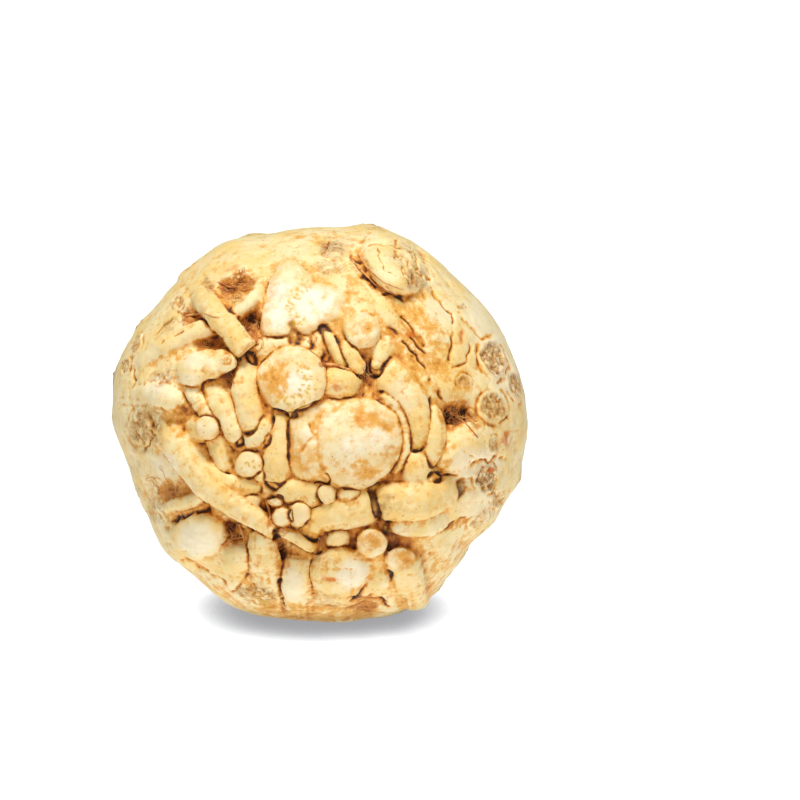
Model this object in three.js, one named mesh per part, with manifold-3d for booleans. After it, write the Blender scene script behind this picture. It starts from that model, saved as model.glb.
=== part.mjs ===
// Celeriac root, trimmed for sale and lying on its side.
//
// One grown body in millimetres, +Z up, with the origin under the middle of its box. The body is
// shaped upright first: its own z axis runs out of the root end, x runs across and y runs up the
// root end as it is seen once the root lies down. The side roots, lumps and stalk stumps are fused
// into the body there. Then the whole is laid down, and a small flat spot is cut under it.

import * as THREE from "three";
import { mergeVertices } from "three/addons/utils/BufferGeometryUtils.js";
import Module from "manifold-3d";

const wasm = await Module();
wasm.setup();

// Driving dimensions
const ROOT_END_DEPTH = 52; // from the widest section out to the root end
const CROWN_DEPTH = 57; // from the widest section back to the crown
const ROOT_END_FULLNESS = 0.88; // under 1 the root end is flatter than an ellipsoid
const CROWN_FULLNESS = 0.9;
const STEEPEST_FACING = 0.45; // near the outline a root is set no deeper than at this facing
const BODY_DETAIL = 11; // splits along each edge of the icosahedron
const LEAN = 15; // degrees that the root end looks up when the root lies down
const CENTRE_Y = -5.2; // where the middle of the widest section comes to lie
const CENTRE_Z = 57.0; // the flat spot is cut this far below it
const TUBE_SIDES = 8;
const ROOT_FATNESS = 1.12; // how much wider than deep a lying root is
const JOIN_WITHIN = 0.1; // corners closer than this after fusing become one
const FACE_FOLLOWS = 0.75; // how far an end-on cut face leans with the skin around it
const CUT_ROUNDING = 0.8; // rounded edge of a face cut end on
const STEM_DEPTH = 13; // how far the stem behind such a face reaches into the body
const ROOTED = 1.5; // how far every root and lump reaches under the skin below it
const SKIN_COLOUR = 0xefd9ae;

// The outline across the widest section: [angle in degrees, radius]
const OUTLINE = [
  [0, 62.3], [28, 61.3], [46, 60.2], [68, 61.8], [90, 59.2], [104, 59.2], [119, 62.0], [135, 60.6],
  [148, 60.9], [161, 63.2], [176, 62.4], [193, 58.6], [206, 58.2], [219, 59.9], [229, 58.8],
  [245, 60.4], [265, 58.9], [280, 59.3], [291, 60.9], [303, 60.5], [312, 58.8], [321, 57.1],
  [333, 59.8], [346, 61.2],
];

// The hollow in the root end that the side roots grow out of
const HOLLOW = { x: -3, y: -7, acrossRadius: 41, upRadius: 44, depth: 8, edge: 0.3 };

// Broad bulges and dents of the body: [x, y, radius, rise]
const SWELLINGS = [
  [45, -22, 9, 1.6], [33, 30, 10, 0.9], [-50, 10, 7, 1.2], [-44, 24, 6, 1.2], [40, 14, 5, 0.8],
  [6, -45, 11, 1.5], [-36, -36, 10, 1.5], [-16, -44, 7, 1], [47, 6, 5, 0.7],
  [38, 2, 4.5, -4], [43.5, 4, 3.6, -3], [36, -7, 3, -3.5], [37, -16, 2.6, -2.5],
  [-41, -1.5, 4, -3.5], [-37, 31, 3.8, -3.5], [-32, 25, 4, -4], [-28, 40, 3.6, -3.2],
  [-22.5, 43, 4.2, -3], [-20, 30.5, 4, -4.5], [-44, -19.5, 4.5, -2.5], [-26, -31.5, 4, -4.5],
  [-12.3, -38.5, 3, -5], [13, -54, 5, -2.6], [22, 31, 3, -1.6], [14, 13.5, 3.6, -1.5],
];

// Roots that lie along the root end, each from its thick end to its tip.
// A point is [x, y, radius, rise of the root's top over the body]. A cut tip is flat.
const LYING_ROOTS = [
  // Left side
  { line: [[-48.5, -3, 4.3, 0], [-43, -9.5, 4.5, 1.6], [-37, -16, 4.2, 2], [-29, -22.5, 3.4, 1.6],
    [-20, -28, 2.7, 1], [-14.5, -32.3, 1.7, -0.5]] },
  { line: [[-40, -6.5, 1.8, -2.5], [-35, -12.3, 1.9, -0.5], [-30, -16.8, 2.2, 0.2],
    [-25, -18.6, 2.3, 0], [-17.5, -18.8, 2, -1.5]] },
  { line: [[-38.8, -3.5, 1.9, -3], [-34.5, -7.5, 1.9, -1.4], [-31.2, -10.6, 1.8, -2.2]] },
  { line: [[-30.7, -4, 2.3, -3.5], [-29.3, -8.5, 2.4, -1.6], [-28.3, -13, 1.5, -2.6]] },
  { line: [[-40.5, -1.2, 4.2, -5], [-37.6, -1, 4.3, -1.2], [-34, -0.8, 3.9, 0.2]], cut: true },
  { line: [[-38, 11, 1.9, -3], [-34.6, 7, 1.8, -0.9], [-30, 1.2, 1.1, -2.2]] },
  { line: [[-32.2, 12.5, 2.7, -2.6], [-29, 6, 2.9, 0], [-25.6, -0.8, 2.5, -0.8]] },
  { line: [[-30, -1, 1.5, -3.5], [-24.8, -4.3, 1.5, -2]], cut: true },
  { line: [[-50, -23.4, 1.2, -1], [-43, -23.5, 1.2, 0.8], [-36, -21.5, 1.3, 0]] },
  { line: [[-54, 9.4, 4.4, -0.6], [-46, 8.6, 3.6, 2.2], [-40.5, 6.3, 2.2, 0]] },
  // Upper left
  { line: [[-53, 16.5, 2.2, -0.8], [-46, 22.3, 2.2, 1.2], [-40, 26.3, 2.1, 1.8], [-32.5, 29.8, 1.9, 1.6],
    [-25, 33.8, 1.7, 1.4], [-20.5, 37, 1.5, 1], [-16, 41.5, 1.4, -0.6]] },
  { line: [[-38, 44.5, 4, -1], [-31.5, 35.8, 3.5, 3.4], [-27, 30.2, 3.1, 4.4], [-21.3, 23, 3, 2.8]],
    cut: true },
  { line: [[-43, 16.5, 4.6, -1], [-34.5, 17.8, 5.2, 3], [-28.2, 18.9, 3.6, 1.6]] },
  // Around the round cut root above the middle
  { line: [[-20.8, 21, 3, -2.4], [-22, 11, 3.4, 0.4], [-20.2, 2, 3, -1.2]] },
  { line: [[-17.5, 20.5, 3, -1], [-8.5, 26, 2.6, -1], [1.5, 19.5, 1.4, -2]] },
  { line: [[-8, 29, 2.2, 0], [-8, 24.5, 2.1, -0.8]] },
  { line: [[1.8, 27.5, 2, -1.6], [-0.3, 21, 1.8, -1.2]] },
  { line: [[0.3, 28.5, 1.2, -1.6], [3.6, 23.8, 1.2, -0.2], [6.8, 18.4, 1.1, -1]] },
  { line: [[6.2, 23.3, 1.8, -1.4], [9.5, 19.4, 2.4, 0], [12.5, 16.3, 1.5, -1]] },
  { line: [[21.6, 27.5, 2.2, -1.6], [20, 21.8, 2.3, 0], [17.3, 17, 1.6, -1]] },
  { line: [[15.5, 39.5, 1.6, -0.8], [20.5, 32.5, 1.7, 0.6], [25.5, 26.5, 1.3, -0.8]] },
  // Middle
  { line: [[-11.2, 2.6, 2.2, -2], [-11.6, -4.5, 2.8, -0.4], [-12.3, -11, 3.9, -0.2],
    [-11.8, -17, 3.4, -2]] },
  { line: [[-22.5, -4.5, 2.4, -3.2], [-18.5, -4.2, 2.6, -2], [-15.2, 0.6, 1.6, -2.6]] },
  { line: [[-11, -18.8, 3.4, -2.6], [-4, -19.7, 3.7, -1], [1.8, -20.2, 2.9, -1.2]] },
  { line: [[19, 7.6, 1.2, -1.2], [24.6, 3, 1.3, -1], [25.8, -3, 1.3, -1], [24, -10.2, 1.2, -1],
    [21.3, -14.8, 1.1, -1.4]] },
  // Right side
  { line: [[19.5, 15.5, 4.4, -2], [25, 11, 5.2, 0.2], [28.3, 4.5, 4, 0.2], [28.8, -1.5, 2.6, -0.6],
    [28.6, -7, 2, -1.6]] },
  { line: [[33, 7, 1.8, -3], [34, -1.5, 2, -0.8], [33, -7.4, 2.1, -0.8], [30.7, -12.4, 2.4, -1.8]] },
  { line: [[50.5, -3.2, 4.6, -0.6], [42, -6.5, 4.4, 2.4], [36.8, -11.4, 2.8, 0]] },
  { line: [[36, -20.8, 4.2, -0.6], [28, -22.5, 4.7, 0.6], [20.3, -23.4, 4.8, 0.2]] },
  { line: [[36, -29.2, 2.5, -1.2], [28, -30.7, 2.8, 0], [21.8, -30.2, 1.8, -1.4]] },
  { line: [[29.8, -35, 1.1, -0.6], [33.8, -42.4, 1, -0.4]] },
  // Bottom
  { line: [[15.5, -25.6, 3.4, -1.4], [6.5, -27, 4, -0.2], [-0.5, -27.6, 3.3, -1.4]] },
  { line: [[-12.5, -32.7, 1.4, -2.6], [-6, -34.8, 1.7, -0.8], [-1.4, -37.7, 1, -1.4]] },
  { line: [[26.3, -53.5, 5.4, -1.5], [25.7, -47, 5.4, 1.6], [25, -39.2, 4.8, 2.6]], cut: true },
  { line: [[11.2, -49.2, 1.4, 0.4], [18.8, -44.8, 1.6, 1.6]] },
  { line: [[-6, -38.6, 3.8, -0.6], [-6.8, -45.5, 5, 2.6], [-7.8, -52, 4, 0.6]] },
  { line: [[-17.4, -30.6, 2.8, -1], [-16.9, -37.6, 4.4, 2.6], [-16.8, -45.5, 5, 2]] },
];

// Roots cut off end on: an oval face whose rise over the body may slope across and up
const END_ON_ROOTS = [
  { x: -8.3, y: 13.8, radius: [9.6, 9.4], rise: 0.2, tilt: [0.12, -0.06] },
  { x: -21.3, y: -11.8, radius: [4.2, 4.1], rise: -1.6 },
  { x: 12.7, y: 28.3, radius: [5.4, 5.4], rise: 0.8 },
  { x: -6.3, y: -27, radius: [3.7, 3.6], rise: 0.2 },
  { x: -10.6, y: -27.6, radius: [2.9, 2.7], rise: -0.8 },
  { x: 14.8, y: -34.8, radius: [5.4, 4.9], rise: 2.2 },
  { x: 33.4, y: -15.9, radius: [2, 1.9], rise: -1.4 },
  { x: -13.3, y: -22.5, radius: [2.2, 1.4], rise: -2.4 },
];

// Cut faces whose edge isn't an oval
const TAP_ROOT = {
  edge: [[-8.6, 3], [-5, 5.2], [0, 7], [6, 7], [12, 8], [18, 6.8], [22.4, 3], [24.4, -4], [23, -10],
    [18.5, -16.2], [12, -19], [5.5, -18], [0.5, -15.5], [-4.5, -16.4], [-8.2, -13], [-9, -5]],
  rise: -1.4,
  tilt: [0, 0],
};
const WHITE_CUT = {
  edge: [[-16.6, 27], [-17.2, 32], [-15.6, 38.5], [-12.6, 46.5], [-8.5, 49], [-4, 46], [-1.5, 42.5],
    [4, 41], [8.6, 39.5], [7.6, 35], [1.5, 30], [-7.5, 27.4], [-12, 25.8]],
  rise: 0.4,
  tilt: [0, -0.02],
};

// Rounded lumps: [x, y, half width, half height, half thickness, turn in degrees, rise]
const LUMPS = [
  [22.3, 47.4, 11.4, 8, 6, -38, 3], // corky knob at the top
  [4, 53, 5, 3.4, 3, 0, 0.8],
  [12, -6, 12.3, 12.4, 5, 0, 0.6], // the tap root's two domes
  [-2, -5, 6.8, 10.6, 4.5, 0, -0.1],
  [6, 11.8, 5.6, 4.3, 4, 0, -0.8],
  [8.8, -21.6, 3.9, 2.6, 2.6, 0, -0.8],
  [29.5, -13.8, 4.6, 4.6, 4, 0, -0.4],
  [5.6, -34.4, 3.9, 2.8, 2.8, 10, 0.6],
  [6.5, -44.5, 11.2, 9.8, 9, 0, 3.6],
  [-35.8, -34.6, 9.4, 8.4, 6.5, 30, 1.6],
  [-23.7, -40.5, 4.4, 4.4, 4, 0, 1.4],
  [-20.5, -22.3, 2.6, 2, 2, 0, -1.2],
  [-26.3, -7.2, 2, 2.2, 2, 0, -1.8],
  [-14.6, -4.9, 1.8, 1.8, 1.8, 0, -2.4],
  [52, 19, 3.4, 5.6, 3, 20, 0.6],
  [51.5, 5.5, 4.4, 4.4, 3, 0, 0.4],
  [49.5, -16, 3.4, 4.4, 3, 0, 0.4],
  [-47.5, 14.5, 3.8, 2.8, 2.4, 20, 0.4],
  [-51.5, -1.5, 4.6, 7, 4, 8, 0.2],
];

// The crown: stumps of the leaf stalks, set in a spiral, each a squashed ring segment
const CROWN = {
  stumps: 15,
  spiralTurn: 137.5, // degrees from each stump to the next
  firstRadius: 5.5,
  lastRadius: 20,
  neckRadius: 23,
  neckRise: 2.6,
  stumpHalfWidth: [4.8, 9.6], // of the first stump and the last
  stumpHalfThickness: [2.4, 3.5],
  stumpRise: [4, 2.2], // how far a stump stands out of the neck
  stumpRoot: 5, // how far it reaches into it
  bud: 4.6,
};

// Scars and warts around the sides and the crown end, drawn with a fixed seed
const SCARS = { count: 64, seed: 7, radius: [3, 5.5], rise: [0.6, 1.5], from: -0.85, upTo: 0.3 };
const WAVES_GROW = 4; // how soon behind the widest section the slow waves reach their full height

const radians = THREE.MathUtils.degToRad;

// Radius of the outline at an angle in degrees, eased from each point to the next
function outlineRadius(degrees) {
  const angle = THREE.MathUtils.euclideanModulo(degrees, 360);
  const next = OUTLINE.findIndex(([at]) => at > angle);
  const [from, fromRadius] = OUTLINE.at(next - 1 < 0 ? -1 : next - 1);
  const [to, toRadius] = next < 0 ? [360, OUTLINE[0][1]] : OUTLINE[next];
  const share = THREE.MathUtils.smoothstep(angle, from, to);
  return THREE.MathUtils.lerp(fromRadius, toRadius, share);
}

// Height of the plain rounded root end over a place on the widest section, before the hollow
function rootEndHeight(x, y) {
  const reach = Math.hypot(x, y) / outlineRadius(THREE.MathUtils.radToDeg(Math.atan2(y, x)));
  const rest = Math.max(0, 1 - reach * reach);
  return ROOT_END_DEPTH * Math.pow(rest, ROOT_END_FULLNESS / 2);
}

// Slope of the rounded root end there, across and up
function rootEndSlope(x, y) {
  const step = 0.5;
  return [
    (rootEndHeight(x + step, y) - rootEndHeight(x - step, y)) / (2 * step),
    (rootEndHeight(x, y + step) - rootEndHeight(x, y - step)) / (2 * step),
  ];
}

// How much it faces outwards: 1 is straight out, less is towards the sides
function rootEndFacing(x, y) {
  return Math.max(STEEPEST_FACING, 1 / Math.hypot(1, ...rootEndSlope(x, y)));
}

// Height of the crown end at a distance from the axis, on a round body of middling width
function crownHeight(fromAxis) {
  const reach = fromAxis / OUTLINE[0][1];
  return -CROWN_DEPTH * Math.pow(1 - reach * reach, CROWN_FULLNESS / 2)
    - CROWN.neckRise * neckShare(fromAxis);
}

// The raised neck that carries the stumps: 1 in its middle, fading out around its edge
function neckShare(fromAxis) {
  return 1 - THREE.MathUtils.smoothstep(fromAxis, CROWN.neckRadius - 6, CROWN.neckRadius + 5);
}

// Change of height that the hollow, the swellings and the dents make
function relief(x, y) {
  const reach = Math.hypot((x - HOLLOW.x) / HOLLOW.acrossRadius, (y - HOLLOW.y) / HOLLOW.upRadius);
  let height = -HOLLOW.depth * (1 - THREE.MathUtils.smoothstep(reach, 1 - HOLLOW.edge, 1));
  for (const [atX, atY, radius, rise] of SWELLINGS) {
    height += rise * Math.exp(-((x - atX) ** 2 + (y - atY) ** 2) / (radius * radius));
  }
  return height;
}

// Slow waves that keep the sides from being a smooth ball
function waviness(d) {
  return 0.5 * Math.sin(5 * d.x + 3 * d.y) + 0.5 * Math.sin(6 * d.y - 4 * d.z + 1)
    + 0.4 * Math.sin(9 * d.z + 5 * d.x + 2);
}

// The same random numbers each time
function seededDraw(seed) {
  let state = seed;
  return () => {
    state = (state * 1664525 + 1013904223) % 4294967296;
    return state / 4294967296;
  };
}

// Low scars on the sides and the crown end: a direction, a radius and a rise
function drawScars() {
  const draw = seededDraw(SCARS.seed);
  const between = ([low, high]) => low + (high - low) * draw();
  return Array.from({ length: SCARS.count }, () => {
    const z = between([SCARS.from, SCARS.upTo]);
    const turn = 2 * Math.PI * draw();
    const flat = Math.sqrt(1 - z * z);
    return {
      direction: new THREE.Vector3(flat * Math.cos(turn), flat * Math.sin(turn), z),
      radius: between(SCARS.radius),
      rise: between(SCARS.rise),
    };
  });
}

// A point of the body's skin in a given direction from the middle of the widest section
function bodyPoint(direction, scars) {
  const across = Math.hypot(direction.x, direction.y);
  const turn = Math.atan2(direction.y, direction.x);
  const radius = outlineRadius(THREE.MathUtils.radToDeg(turn));
  const x = radius * across * Math.cos(turn);
  const y = radius * across * Math.sin(turn);
  const back = Math.max(0, -direction.z);
  const z = back > 0 ? -CROWN_DEPTH * Math.pow(back, CROWN_FULLNESS)
    : rootEndHeight(x, y) + relief(x, y);
  let rise = waviness(direction) * Math.min(1, WAVES_GROW * back);
  if (back > 0) rise += CROWN.neckRise * neckShare(Math.hypot(x, y));
  const scarShare = 1 - THREE.MathUtils.smoothstep(direction.z, 0, SCARS.upTo);
  for (const scar of scars) {
    const away = radius * scar.direction.distanceTo(direction);
    rise += scarShare * scar.rise * Math.exp(-((away / scar.radius) ** 2));
  }
  return new THREE.Vector3(x, y, z).addScaledVector(direction, rise);
}

// A closed three.js geometry as a solid that can be joined and cut
function solidOf(geometry, within = 1e-4) {
  const bare = geometry.clone();
  bare.deleteAttribute("normal");
  bare.deleteAttribute("uv");
  const merged = mergeVertices(bare, within);
  return new wasm.Manifold(new wasm.Mesh({
    numProp: 3,
    vertProperties: Float32Array.from(merged.getAttribute("position").array),
    triVerts: Uint32Array.from(merged.index.array),
  }));
}

// The largest body alone: a sealed hollow is filled that way, and a loose scrap is dropped
function withoutScraps(solid) {
  return solid.decompose().sort((a, b) => b.volume() - a.volume())[0];
}

// Moves every vertex of a geometry to where a function puts it
function reshape(geometry, place) {
  const position = geometry.getAttribute("position");
  const point = new THREE.Vector3();
  for (let i = 0; i < position.count; i += 1) {
    const moved = place(point.fromBufferAttribute(position, i));
    position.setXYZ(i, moved.x, moved.y, moved.z);
  }
  return geometry;
}

function body() {
  const scars = drawScars();
  return solidOf(reshape(new THREE.IcosahedronGeometry(1, BODY_DETAIL), (point) =>
    bodyPoint(point.clone().normalize(), scars)));
}

// A root lying on the root end: a tube with its own radius at each point of its line
function lyingRoot({ line, cut }) {
  const middle = line.map(([x, y, radius, rise]) => new THREE.Vector3(
    x, y, rootEndHeight(x, y) - (radius - rise) / rootEndFacing(x, y)));
  const curve = new THREE.CatmullRomCurve3(middle);
  const steps = Math.round(1.4 * line.length) - 1;
  const tip = cut ? [[0.94, 1]] : [[0.92, 0.95], [0.55, 1.02]];
  const profile = [[0, -0.02]];
  for (let i = 1; i < steps; i += 1) profile.push([1, i / steps]);
  profile.push(...tip, [0, cut ? 1.01 : 1.05]);
  const skin = new THREE.LatheGeometry(profile.map(([x, y]) => new THREE.Vector2(x, y)), TUBE_SIDES);
  const out = new THREE.Vector3(0, 0, 1);
  return solidOf(reshape(skin, (point) => {
    const along = THREE.MathUtils.clamp(point.y, 0, 1);
    const spot = along * (line.length - 1);
    const first = Math.min(line.length - 2, Math.floor(spot));
    const radius = THREE.MathUtils.lerp(line[first][2], line[first + 1][2], spot - first);
    const centre = curve.getPoint(along);
    const tangent = curve.getTangent(along);
    const sideways = tangent.clone().cross(out).normalize();
    const outwards = sideways.clone().cross(tangent);
    const past = (point.y - along) * curve.getLength();
    const toFloor = centre.z - rootEndHeight(centre.x, centre.y) - relief(centre.x, centre.y);
    const below = Math.max(radius, toFloor + ROOTED);
    return centre.addScaledVector(tangent, past)
      .addScaledVector(sideways, point.x * radius * ROOT_FATNESS)
      .addScaledVector(outwards, point.z * (point.z > 0 ? radius : below));
  }));
}

// A root cut off end on: its face stands just over the hollow, on a stem that reaches well in
function endOnRoot(shape, x, y, rise, tilt = [0, 0]) {
  const stem = new THREE.ExtrudeGeometry(shape, {
    depth: STEM_DEPTH, steps: 1, curveSegments: 7, bevelEnabled: true, bevelThickness: CUT_ROUNDING,
    bevelSize: CUT_ROUNDING, bevelOffset: -CUT_ROUNDING, bevelSegments: 1,
  });
  const top = rootEndHeight(x, y) + rise - STEM_DEPTH - CUT_ROUNDING;
  const [slopeX, slopeY] = rootEndSlope(x, y).map((slope, i) => FACE_FOLLOWS * slope + tilt[i]);
  return solidOf(reshape(stem, (point) => new THREE.Vector3(
    point.x, point.y, point.z + top + slopeX * (point.x - x) + slopeY * (point.y - y))));
}

function oval(x, y, [halfWidth, halfHeight]) {
  return new THREE.Shape().absellipse(x, y, halfWidth, halfHeight, 0, 2 * Math.PI);
}

function cutFace({ edge, rise, tilt }) {
  const points = edge.map(([x, y]) => new THREE.Vector2(x, y));
  const x = points.reduce((sum, point) => sum + point.x, 0) / points.length;
  const y = points.reduce((sum, point) => sum + point.y, 0) / points.length;
  return endOnRoot(new THREE.Shape(points), x, y, rise, tilt);
}

function lump([x, y, halfWidth, halfHeight, thickness, turn, rise]) {
  const large = halfWidth > 6;
  const under = (thickness - rise) / rootEndFacing(x, y);
  const below = Math.max(thickness, ROOTED - under - relief(x, y));
  const ball = large ? new THREE.SphereGeometry(1, 12, 8) : new THREE.SphereGeometry(1, 9, 6);
  ball.rotateX(radians(90));
  reshape(ball, (point) => new THREE.Vector3(
    point.x * halfWidth, point.y * halfHeight, point.z * (point.z > 0 ? thickness : below)));
  ball.rotateZ(radians(turn));
  ball.translate(x, y, rootEndHeight(x, y) - under);
  return solidOf(ball);
}

// One leaf stalk stump: a short crescent in section, wrapped around the crown's middle
function stalkStump(index) {
  const share = index / (CROWN.stumps - 1);
  const fromMiddle = THREE.MathUtils.lerp(CROWN.firstRadius, CROWN.lastRadius, Math.sqrt(share));
  const turn = index * CROWN.spiralTurn;
  const halfWidth = THREE.MathUtils.lerp(...CROWN.stumpHalfWidth, share);
  const halfThickness = THREE.MathUtils.lerp(...CROWN.stumpHalfThickness, share);
  const stumpRise = THREE.MathUtils.lerp(...CROWN.stumpRise, share);
  const stump = new THREE.CylinderGeometry(1, 0.86, 1, 11, 1);
  stump.rotateX(radians(90));
  return solidOf(reshape(stump, (point) => {
    const radius = fromMiddle + point.y * halfThickness;
    const angle = radians(turn) - point.x * halfWidth / fromMiddle;
    const neck = crownHeight(radius);
    const z = point.z > 0 ? neck + CROWN.stumpRoot : neck - stumpRise;
    return new THREE.Vector3(radius * Math.cos(angle), radius * Math.sin(angle), z);
  }));
}

function crownBud() {
  const bud = new THREE.SphereGeometry(CROWN.bud, 10, 7);
  bud.translate(0, 0, crownHeight(0));
  return solidOf(bud);
}

// Everything fused, then laid down and cut flat underneath
function celeriac() {
  const grown = [
    ...LYING_ROOTS.map(lyingRoot),
    ...END_ON_ROOTS.map(({ x, y, radius, rise, tilt }) =>
      endOnRoot(oval(x, y, radius), x, y, rise, tilt)),
    cutFace(TAP_ROOT),
    cutFace(WHITE_CUT),
    ...LUMPS.map(lump),
    ...Array.from({ length: CROWN.stumps }, (_, index) => stalkStump(index)),
    crownBud(),
  ];
  const mesh = withoutScraps(grown.reduce((sum, piece) => sum.add(piece), body())).getMesh();
  const geometry = new THREE.BufferGeometry();
  geometry.setAttribute("position", new THREE.BufferAttribute(mesh.vertProperties, 3));
  geometry.setIndex(new THREE.BufferAttribute(mesh.triVerts, 1));
  geometry.rotateX(radians(90 - LEAN));
  geometry.translate(0, CENTRE_Y, CENTRE_Z);
  const ground = new THREE.BoxGeometry(200, 200, 20);
  ground.translate(0, 0, -10);
  return withoutScraps(solidOf(geometry, JOIN_WITHIN).subtract(solidOf(ground)));
}

function meshFrom(solid, name, material) {
  const { vertProperties, triVerts } = solid.getMesh();
  const geometry = new THREE.BufferGeometry();
  geometry.setAttribute("position", new THREE.BufferAttribute(vertProperties, 3));
  geometry.setIndex(new THREE.BufferAttribute(triVerts, 1));
  geometry.computeVertexNormals();
  const mesh = new THREE.Mesh(geometry, material);
  mesh.name = name;
  return mesh;
}

const skin = new THREE.MeshStandardMaterial({ color: SKIN_COLOUR, roughness: 0.75, metalness: 0 });
const root = new THREE.Group();
root.add(meshFrom(celeriac(), "celeriac_root", skin));

export default root;
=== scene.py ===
# A trimmed celeriac root, lying on its side with its root end towards the viewer.
#
# The root is shaped upright in millimetres, as it grew: z runs out of the root end, x runs across
# and y runs up the root end as it is seen. It is then laid down and brought to metres.

import math

import bmesh
import bpy
import numpy as np
from mathutils import Euler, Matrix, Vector
from mathutils.bvhtree import BVHTree


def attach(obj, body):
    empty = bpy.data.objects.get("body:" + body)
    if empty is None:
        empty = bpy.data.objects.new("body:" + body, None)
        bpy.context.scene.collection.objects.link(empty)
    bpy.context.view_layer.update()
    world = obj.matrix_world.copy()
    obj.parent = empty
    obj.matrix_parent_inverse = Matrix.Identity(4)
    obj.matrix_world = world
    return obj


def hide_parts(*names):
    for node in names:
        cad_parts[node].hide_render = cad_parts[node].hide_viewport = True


bl_info = {
    "name": "Celeriac root",
    "version": (1, 0, 0),
    "blender": (4, 5, 0),
    "location": "View3D > Sidebar > Celeriac",
    "description": "A trimmed celeriac root with its side roots, cut faces and root fibres",
    "category": "Add Mesh",
}

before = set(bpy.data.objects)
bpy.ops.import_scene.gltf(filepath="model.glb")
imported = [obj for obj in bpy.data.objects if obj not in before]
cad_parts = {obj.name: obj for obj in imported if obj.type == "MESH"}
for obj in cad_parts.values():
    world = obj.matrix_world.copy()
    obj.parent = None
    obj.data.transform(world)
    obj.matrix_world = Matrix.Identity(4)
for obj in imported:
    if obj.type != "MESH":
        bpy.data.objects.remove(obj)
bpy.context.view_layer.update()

# Driving dimensions, in millimetres and degrees
MM = 0.001
ROOT_END_DEPTH = 52  # from the widest section out to the root end
CROWN_DEPTH = 57  # from the widest section back to the crown
ROOT_END_FULLNESS = 0.88  # under 1 an end is flatter than an ellipsoid
CROWN_FULLNESS = 0.9
STEEPEST_FACING = 0.45  # near the outline a root is set no deeper than at this facing
STEEPEST_TILT = 1.4  # and leans with the skin no more than this
LEAN = 15  # how far the root end looks up when the root lies down
LAID_BACK = math.radians(90 - LEAN)
CENTRE = (0, -5.2, 57.0)  # where the middle of the widest section comes to lie
ROOT_FATNESS = 1.28  # how much wider than deep a lying root is
FACE_FOLLOWS = 0.75  # how far a face cut end on leans with the skin around it
STEM_DEPTH = 13  # how far the stem behind such a face reaches into the body
ROOTED = 1.5  # how far every root and lump reaches under the skin below it
CREASE_FILL = 0.75  # share of a crease that is filled before its crack is cut
CRACK_WIDTH = 0.42
WAVES_GROW = 4  # how soon behind the widest section the slow waves reach their full height
FAR = 99.0  # further than anything on the root

# The random bumps: the turn of their grid away from the axes, and the numbers that mix its corners
NOISE_TURN = np.array(Euler((0.6, 0.9, 0.4)).to_matrix())
CORNER_PRIMES = np.array((73856093, 19349663, 83492791))
MIXING = ((15, 2246822519), (13, 3266489917))
LOW_BITS = 0xffffffff

# Seeds of the random draws
SEEDS = {"scars": 7, "tones": 5, "flecks": 3, "fibres": 12}

# Height of each kind of fine relief, in millimetres
RELIEF = {
    "swell": 0.4, "bump": 0.26, "pimple": 0.12, "ring": 0.14, "string": 0.16, "rib": 0.9,
    "cork": 0.4, "fissure": 0.5, "eye rim": 0.45, "scab": 0.35, "scab sunk": 0.2, "eye edge": 0.4,
    "crack": 0.8, "floor": 0.6, "floor sunk": 0.1,
}

# How much each cause browns the skin: stains and marks, and painted shade in the hollows, pits, cracks,
# deep places and towards the bottom. The pale marks lighten it, and the crown takes a share off
STAIN_AND_SHADE = {
    "root end": 0.12, "shade below": 0.1, "depth": 0.22, "wide hollow shade": 0.5, "fine hollow shade": 0.2,
    "gold": 0.34, "brown": 0.3, "floor": 0.06, "crack": 0.3, "groove": 0.25, "eye edge": 0.5,
    "scab": 0.2, "filled": 0.3, "tip": 0.12, "pit shade": 0.35, "pale": -0.2, "crown": 0.35,
}

# Thinning: how many steps from kept to plain skin, the weight of the first, what each adds, and
# how strongly the weights count
THINNING = {"steps": 10, "first": 0.02, "step": 0.098, "factor": 4}

# The outline across the widest section: angle in degrees, radius
OUTLINE = [
    (0, 62.3), (28, 61.3), (46, 60.2), (68, 61.8), (90, 59.2), (104, 59.2), (119, 62.0), (135, 60.6),
    (148, 60.9), (161, 63.2), (176, 62.4), (193, 58.6), (206, 58.2), (219, 59.9), (229, 58.8),
    (245, 60.4), (265, 58.9), (280, 59.3), (291, 60.9), (303, 60.5), (312, 58.8), (321, 57.1),
    (333, 59.8), (346, 61.2),
]

# The hollow in the root end that the side roots grow out of
HOLLOW = {"x": -3, "y": -7, "across": 41, "up": 44, "depth": 3, "edge": 0.34}

# Broad bulges and dents of the body: x, y, radius, rise
SWELLINGS = [
    (45, -22, 9, 1.6), (33, 30, 10, 0.9), (-50, 10, 7, 1.2), (-44, 24, 6, 1.2), (40, 14, 5, 0.8),
    (6, -45, 11, 1.5), (-36, -36, 10, 1.5), (-16, -44, 7, 1), (47, 6, 5, 0.7), (38, 2, 4.5, -4),
    (43.5, 4, 3.6, -3), (36, -7, 3, -3.5), (37, -16, 2.6, -2.5), (-41, -1.5, 4, -3.5),
    (-37, 31, 3.8, -3.5), (-32, 25, 4, -4), (-28, 40, 3.6, -3.2), (-22.5, 43, 4.2, -3),
    (-20, 30.5, 4, -4.5), (-44, -19.5, 4.5, -2.5), (-26, -31.5, 4, -4.5), (-12.3, -38.5, 3, -5),
    (13, -54, 5, -2.6), (22, 31, 3, -1.6), (14, 13.5, 3.6, -1.5), (-16, -24.5, 2.6, -3),
    (-38, 32, 3.4, -2), (41, 3.4, 4, -2),
]

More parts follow.
